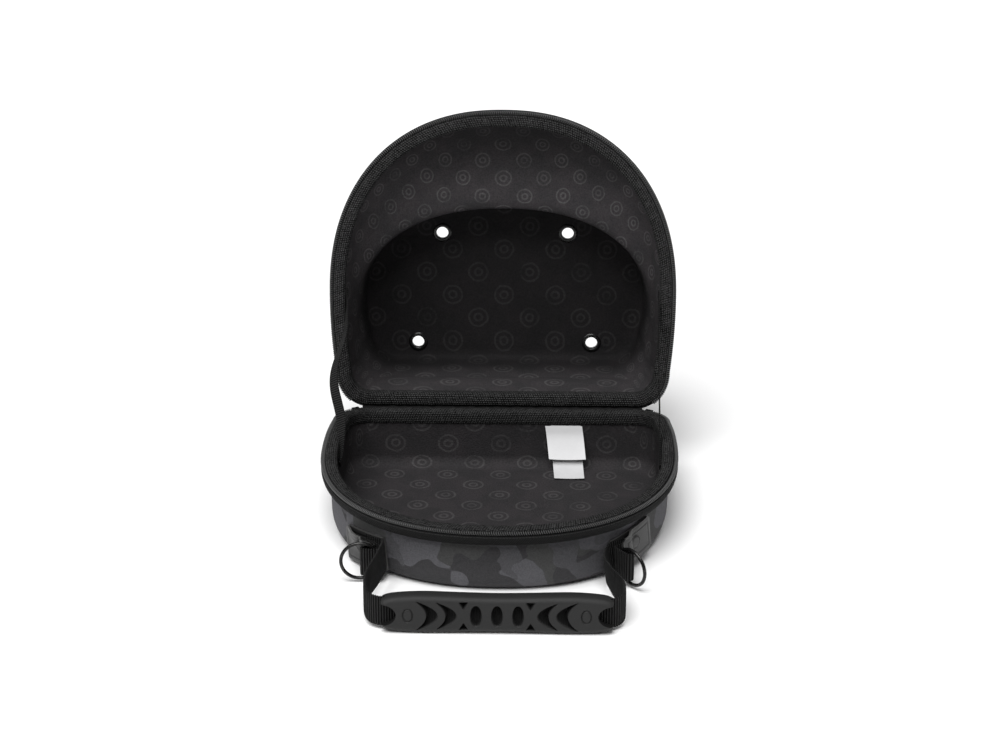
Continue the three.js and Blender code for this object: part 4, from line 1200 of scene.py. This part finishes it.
# %% Rings and loops
RING_RADIUS = 15.3
RING_WIRE = 1.45
LOOP_HEIGHT = 19.0
LOOP_ROUTES = {
    "left": [
        (-6, 4.85), (0, 4.85), (4.6, 5.2), (8.6, 5.8), (11.0, 8.0), (11.3, 11.2), (9.3, 14.2),
        (5.1, 17.7), (4.0, 18.6), (2.6, 19.4), (0.7, 19.2), (-0.3, 17.6), (0.4, 15.2), (3.3, 11.9),
        (4.5, 9.0), (3.0, 6.9), (-2, 6.6), (-6, 6.6),
    ],
    "right": [
        (-6, 4.85), (0, 4.85), (4, 4.95), (6.2, 6.4), (6.6, 9.0), (6.6, 15.0), (6.6, 21.6), (5.8, 23.4),
        (4.0, 24.2), (2.2, 23.4), (1.4, 21.6), (1.4, 15.0), (1.4, 10.0), (0.6, 7.7), (-1.5, 6.7), (-6, 6.6),
    ],
}
LOOP_WIDTH = 0.024
# For each side: the ring's middle in x and y, how far it is turned, and how far it leans
RING_PLACES = {"left": (-109.3, -103.3, 3.9, 0.0), "right": (108.6, -110.3, -48.0, -2.5)}
for name, anchor in ANCHORS.items():
    route = smooth_path(LOOP_ROUTES[name], 10)
    path = wall_spot(route[:, 0], route[:, 1], LOOP_HEIGHT, anchor["sign"])
    loop = webbing_band(path, UP, LOOP_WIDTH, 1.35 * MM)
    piece(f"ring_loop_webbing_{name}", loop, [WEBBING], [f"ring_loop_{name}"])
    x, y, yaw, lean = RING_PLACES[name]
    yaw, lean = math.radians(yaw), math.radians(lean)
    facing = np.array([-math.sin(yaw), math.cos(yaw), 0.0])
    axis = facing * math.cos(lean) - np.array(UP) * math.sin(lean)
    wire = strip_mesh(lathe(round_section((RING_RADIUS, 0.0), RING_WIRE, 14), 72), closed_path=True)
    ring = turned(wire, np.array([x, y, LOOP_HEIGHT]) * MM, axis)
    piece(f"ring_wire_{name}", ring, [METAL], [f"ring_{name}"])

# %% [markdown]
# ## The handle's webbing
# One piece of webbing runs from anchor to anchor, on edge all the way: out of the anchor, forwards,
# round a bend and through the grip. At the anchors it leans as they do, and further on it stands
# upright. Its route is a list of places for each side, with the height falling to the grip's.

# %% Handle webbing
GRIP_S = 315.0
GRIP_HEIGHT = 32.0
GRIP_MIDDLE = 16.2
GRIP_HALF_LENGTH = 90.0
GRIP_SHIFT = 2.9
STRAP_OUT = 2.9
STRAP_WIDTH = 0.025
STRAP_LEAD = ((-8, 21.5), (0, 21.8), (5, 22.0))
STRAP_ROUTES = {
    "left": [
        (90.9, -97.4, 23.2), (90.0, -101.5, 23.5), (90.6, -107.0, 23.5), (92.0, -114.0, 23.0),
        (94.6, -126.0, 22.0), (97.6, -136.0, 21.0), (100.3, -145.0, 20.0), (101.8, -157.0, 18.8),
        (101.0, -169.0, 17.6), (97.6, -178.5, 16.7), (91.0, -183.6, 16.3), (84.0, -185.0, 16.2),
        (75.0, -185.0, 16.2),
    ],
    "right": [
        (90.9, -97.4, 19.8), (88.9, -102.0, 19.4), (87.9, -108.5, 19.0), (87.8, -115.0, 18.8),
        (89.9, -123.2, 18.5), (94.0, -136.5, 18.0), (98.0, -145.0, 17.6), (101.4, -155.5, 17.2),
        (102.3, -166.0, 16.9), (101.2, -174.5, 16.5), (97.0, -181.8, 16.3), (90.5, -184.7, 16.2),
        (83.0, -185.0, 16.2),
    ],
}


def strap_side(name):
    anchor = ANCHORS[name]
    lead = [wall_spot(along, STRAP_OUT, height) / MM for along, height in STRAP_LEAD]
    points = smooth_path([*lead, *STRAP_ROUTES[name]], 10) * [anchor["sign"], 1, 1] * MM
    edge = units(anchor_spot(anchor, 20.0, 10.0, STRAP_OUT) - anchor_spot(anchor, 20.0, 0.0, STRAP_OUT))
    upright = step(-points[:, 1] / MM, 110.0, 165.0)[:, None]
    return points, edge * (1 - upright) + np.array(UP) * upright


right_points, right_wide = strap_side("right")
left_points, left_wide = strap_side("left")
strap_path = np.vstack([right_points, left_points[::-1]])
strap = webbing_band(strap_path, np.vstack([right_wide, left_wide[::-1]]), STRAP_WIDTH, 1.6 * MM)
piece("handle_webbing", strap, [WEBBING], ["handle_strap"])
print("handle webbing", round(lengths(strap_path)[-1] * 1000), "mm")

# %% [markdown]
# ## The rubber grip
# The grip is one moulding with a row of scooped windows along its front. Cutting each window with a
# Boolean would leave hard edges that real rubber doesn't have. Instead the front is a fine grid, and
# a formula says how deep each point lies: the crescents' floors rise towards their outer arc, and
# the ovals are small bowls. Only the slot and the two end notches, which go right through, are cut.

# %% Grip
GRIP_ROWS = [
    (-90.0, 0.72), (-87.75, 0.79), (-81.9, 0.89), (-70.2, 0.97), (-54.0, 1.0), (-27.0, 0.95), (0.0, 0.92),
    (27.0, 0.95), (54.0, 1.0), (70.2, 0.97), (81.9, 0.89), (87.75, 0.79), (90.0, 0.72),
]
GRIP_THICK = 16.0
GRIP_EDGE = 5.2
END_ROUND = 3.5
WINDOW_HALF = 12.2
OVAL_WIDE = 4.1
OVAL_HIGH = 8.4
BADGE_PLACE = 69.3
SLOT_THICK = 2.4
SLOT_HIGH = 25.6
NOTCH_LONG = 11.6
NOTCH_HIGH = 9.0


def soft(distance, width=0.45):
    """1 inside a shape and 0 outside it, from a distance that is negative inside."""
    return 1 - step(distance, -width, width)


def crescent_depth(x, z, tip, bulge, thick, half):
    towards = -np.sign(tip)
    bow = 1 - np.clip(z / half, -1, 1) ** 2
    outer = (x - tip) * towards - bulge * bow
    inner = (x - tip) * towards - (bulge - thick) * bow
    share = np.clip(-outer / np.maximum(inner - outer, 0.3), 0, 1)
    inside = soft(outer) * soft(-inner) * soft(np.abs(z) - half)
    return inside * (1.6 + 5.2 * share ** 0.75)


def oval_distance(x, z, centre, wide, high):
    return (np.sqrt(((x - centre) / wide) ** 2 + (z / high) ** 2) - 1) * wide


def window_depth(x, z):
    depth = np.zeros_like(x)
    for centre in (-16.3, 0.0, 16.3):
        oval = oval_distance(x, z, centre, OVAL_WIDE, OVAL_HIGH)
        bowl = 5.0 + 1.6 * np.clip(z / OVAL_HIGH, -1, 1)
        depth = np.maximum(depth, soft(oval) * bowl)
    for side in (-1, 1):
        depth = np.maximum(depth, crescent_depth(x, z, side * 62.5, 16.3, 8.3, WINDOW_HALF))
        depth = np.maximum(depth, crescent_depth(x, z, side * 46.7, 15.2, 8.0, WINDOW_HALF * 0.94))
        across = np.abs(x - side * 26.0)
        up = np.abs(z)
        narrow = across - 3.2 * np.clip((up - 6.3) / 5.3, 0, 1)
        corner = soft(narrow, 0.4) * soft(6.3 - up, 0.4) * soft(up - 11.6, 0.4)
        depth = np.maximum(depth, corner * 4.5)
        ring = np.abs(oval_distance(x, z, side * BADGE_PLACE, 3.7, 5.4)) - 0.4
        depth = np.maximum(depth, soft(ring, 0.4) * 0.95)
    return depth


def grip_shape():
    rows = smooth_path(GRIP_ROWS, 40)
    along = np.linspace(-GRIP_HALF_LENGTH, GRIP_HALF_LENGTH, 460)
    high = np.interp(along, rows[:, 0], rows[:, 1])
    columns = 84
    half_high = GRIP_HEIGHT / 2
    flat = np.linspace(-1, 1, columns)
    rings = np.zeros((len(along), 2 * columns, 3))
    uv = np.zeros((len(along), 2 * columns, 2))
    for k, (x, share) in enumerate(zip(along, high)):
        z = flat * half_high * share
        from_top = half_high * share - np.abs(z)
        past_edge = np.maximum(GRIP_EDGE - from_top, 0)
        round_off = GRIP_EDGE - np.sqrt(np.maximum(GRIP_EDGE ** 2 - past_edge ** 2, 0))
        end = np.clip((np.abs(x) - GRIP_HALF_LENGTH + END_ROUND) / END_ROUND, 0, 1)
        half = GRIP_THICK / 2 - 1.6 * (1 - math.sqrt(max(1 - end ** 2, 0)))
        face = np.maximum(half - round_off, 0.4)
        hollow = window_depth(np.full(columns, x), z)
        rings[k, :columns] = np.column_stack([np.full(columns, x), hollow - face, z])
        rings[k, columns:] = np.column_stack([np.full(columns, x), face, z])[::-1]
        # The UV keeps the windows' depth, which the rubber uses for painted shade
        uv[k, :columns] = np.column_stack([hollow, np.full(columns, x + 100.0)]) * MM
    return rings, uv


def grip_cutters():
    y, z = SLOT_THICK / 2, SLOT_HIGH / 2
    section = np.array([(-y, -z), (y, -z), (y, z), (-y, z)])
    shapes = [strip_mesh(np.array([np.column_stack([np.full(4, x), section]) for x in (-100.0, 100.0)]))]
    turn = np.arange(48) / 48 * 2 * math.pi
    for end in (-1, 1):
        x, z = end * GRIP_HALF_LENGTH + NOTCH_LONG * np.cos(turn), NOTCH_HIGH * np.sin(turn)
        shapes.append(strip_mesh(np.array([np.column_stack([x, np.full(48, y), z]) for y in (-20.0, 20.0)])))
    return shapes


GRIP_CENTRE = np.array([GRIP_SHIFT, HALF_DEPTH - GRIP_S, GRIP_MIDDLE])
grip_points, grip_uv = grip_shape()
solid = strip_mesh((grip_points + GRIP_CENTRE) * MM, uv=grip_uv)
grip_mesh = plain_mesh("grip", solid)
for points, faces, face_uv in grip_cutters():
    grip_mesh = cut(grip_mesh, [((points + GRIP_CENTRE) * MM, faces, face_uv)])
piece("grip_rubber_moulding", grip_mesh, [RUBBER], ["handle_grip"])

# %% [markdown]
# ## Zip sliders
# The sliders are parked at the rear corners, where hardly a corner of them shows from the front. Each
# is a small cast body with a bridge, and a pull that hangs behind the case. Bevels take the hardness
# off the cast edges.

# %% Sliders
SLIDER_TURN = math.radians(26.94)
SLIDER_X = 114.7 + 29.1 * math.sin(SLIDER_TURN)
SLIDER_Y = 124.9
SLIDER_Z = 56.1 - REAR_SAG


def cast_block(centre, size, taper=1.0):
    x, y, z = (value / 2 for value in size)
    rings = []
    for level, scale in ((-1, taper), (1, 1.0)):
        rings.append([(px * x * scale, py * y, level * z) for px, py in ((-1, -1), (1, -1), (1, 1), (-1, 1))])
    return strip_mesh((np.array(rings) + np.asarray(centre)) * MM)


def slider(sign):
    parts = [
        cast_block((0, -0.2, 1.7), (6.6, 3.4, 0.6)), cast_block((0, 0, -2.1), (7.8, 3.9, 0.8)),
        cast_block((-2.4, 0, -0.2), (2.2, 2.2, 3.4)), cast_block((1.4, 1.75, -0.4), (3.0, 0.5, 3.4)),
        cast_block((0, 2.0, -10.6), (4.9, 1.3, 17.6), 0.8), cast_block((0, 2.0, -0.9), (2.6, 1.3, 3.4)),
    ]
    owner = new_object("slider", plain_mesh("slider", joined(parts)))
    bevel = owner.modifiers.new("cast_edges", "BEVEL")
    bevel.width = 0.3 * MM
    bevel.segments = 2
    made = evaluated_mesh(owner)
    spot = Matrix.Translation((sign * SLIDER_X * MM, SLIDER_Y * MM, SLIDER_Z * MM))
    made.transform(spot @ Matrix.Rotation(-sign * SLIDER_TURN, 4, "Z"))
    return made


for name, sign in (("left", -1), ("right", 1)):
    piece(f"slider_cast_{name}", slider(sign), [METAL], [f"zip_slider_{name}"])

for helper in (tooth, stitch):
    bpy.data.objects.remove(helper)

# %% [markdown]
# ## Floor, light and camera
# The photograph is a catalogue shot: a white floor and backdrop without a visible line between them,
# wide soft light from above, a little from the left and in front, and a long lens from a little above.
# The floor is a large plain sheet. The camera looks at the hinge from 2.5 m, and a small shift frames
# the case as it is framed in the photograph.

# %% Studio


def pale_floor():
    paint = Finish("pale_floor")
    soft_tone = paint.noise(1.5, 2.0, 0.5)
    colour = paint.shade(grey(0.93), soft_tone * 0.02 + 0.99)
    return paint.done(colour, 0.9)


floor_mesh = bpy.data.meshes.new("floor")
floor_mesh.from_pydata([(-9, -9, 0), (9, -9, 0), (9, 9, 0), (-9, 9, 0)], [], [(0, 1, 2, 3)])
floor_mesh.materials.append(pale_floor())
floor = new_object("floor", floor_mesh)

world = bpy.data.worlds.new("studio")
bpy.context.scene.world = world
world.use_nodes = True
world.node_tree.nodes["Background"].inputs[0].default_value = (1.0, 1.0, 1.0, 1.0)
world.node_tree.nodes["Background"].inputs[1].default_value = 0.245


def placed(name, data, place, back):
    """Puts a lamp or the camera at a place, with its back to a direction and its top upwards."""
    made = new_object(name, data)
    side = units(np.cross(UP, back))
    matrix = np.eye(4)
    matrix[:3] = np.column_stack([side, np.cross(back, side), back, place])
    made.matrix_world = Matrix(matrix.tolist())
    return made


sun = bpy.data.lights.new("wide_soft_light", "SUN")
sun.energy = 3.6
sun.angle = math.radians(46)
sun_lamp = new_object("wide_soft_light", sun)
sun_lamp.rotation_euler = (math.radians(24), math.radians(-8), 0)
glint = bpy.data.lights.new("glint", "AREA")
glint.shape = "SQUARE"
glint.size = 0.5
glint.energy = 5.0
glint_place = np.array([-1.3, -1.2, 1.5])
placed("glint", glint, glint_place, units(glint_place - np.array([0.0, 0.0, 0.1])))

CAMERA_DISTANCE = 2.5
AZIMUTH = math.radians(1.25)
ELEVATION = math.radians(23.2)
camera = bpy.data.cameras.new("camera")
camera.lens = 103.28
camera.sensor_width = 36.0
camera.shift_x = -0.0023
camera.shift_y = 0.0278
camera.clip_end = 50.0
back = np.array([
    math.sin(AZIMUTH) * math.cos(ELEVATION), -math.cos(AZIMUTH) * math.cos(ELEVATION), math.sin(ELEVATION),
])
hinge_centre = np.array([0.0, HALF_DEPTH, TRAY_HEIGHT]) * MM
viewer = placed("camera", camera, hinge_centre + CAMERA_DISTANCE * back, back)
bpy.context.scene.camera = viewer
bpy.context.scene.view_settings.view_transform = "Standard"
bpy.context.scene.view_settings.look = "None"
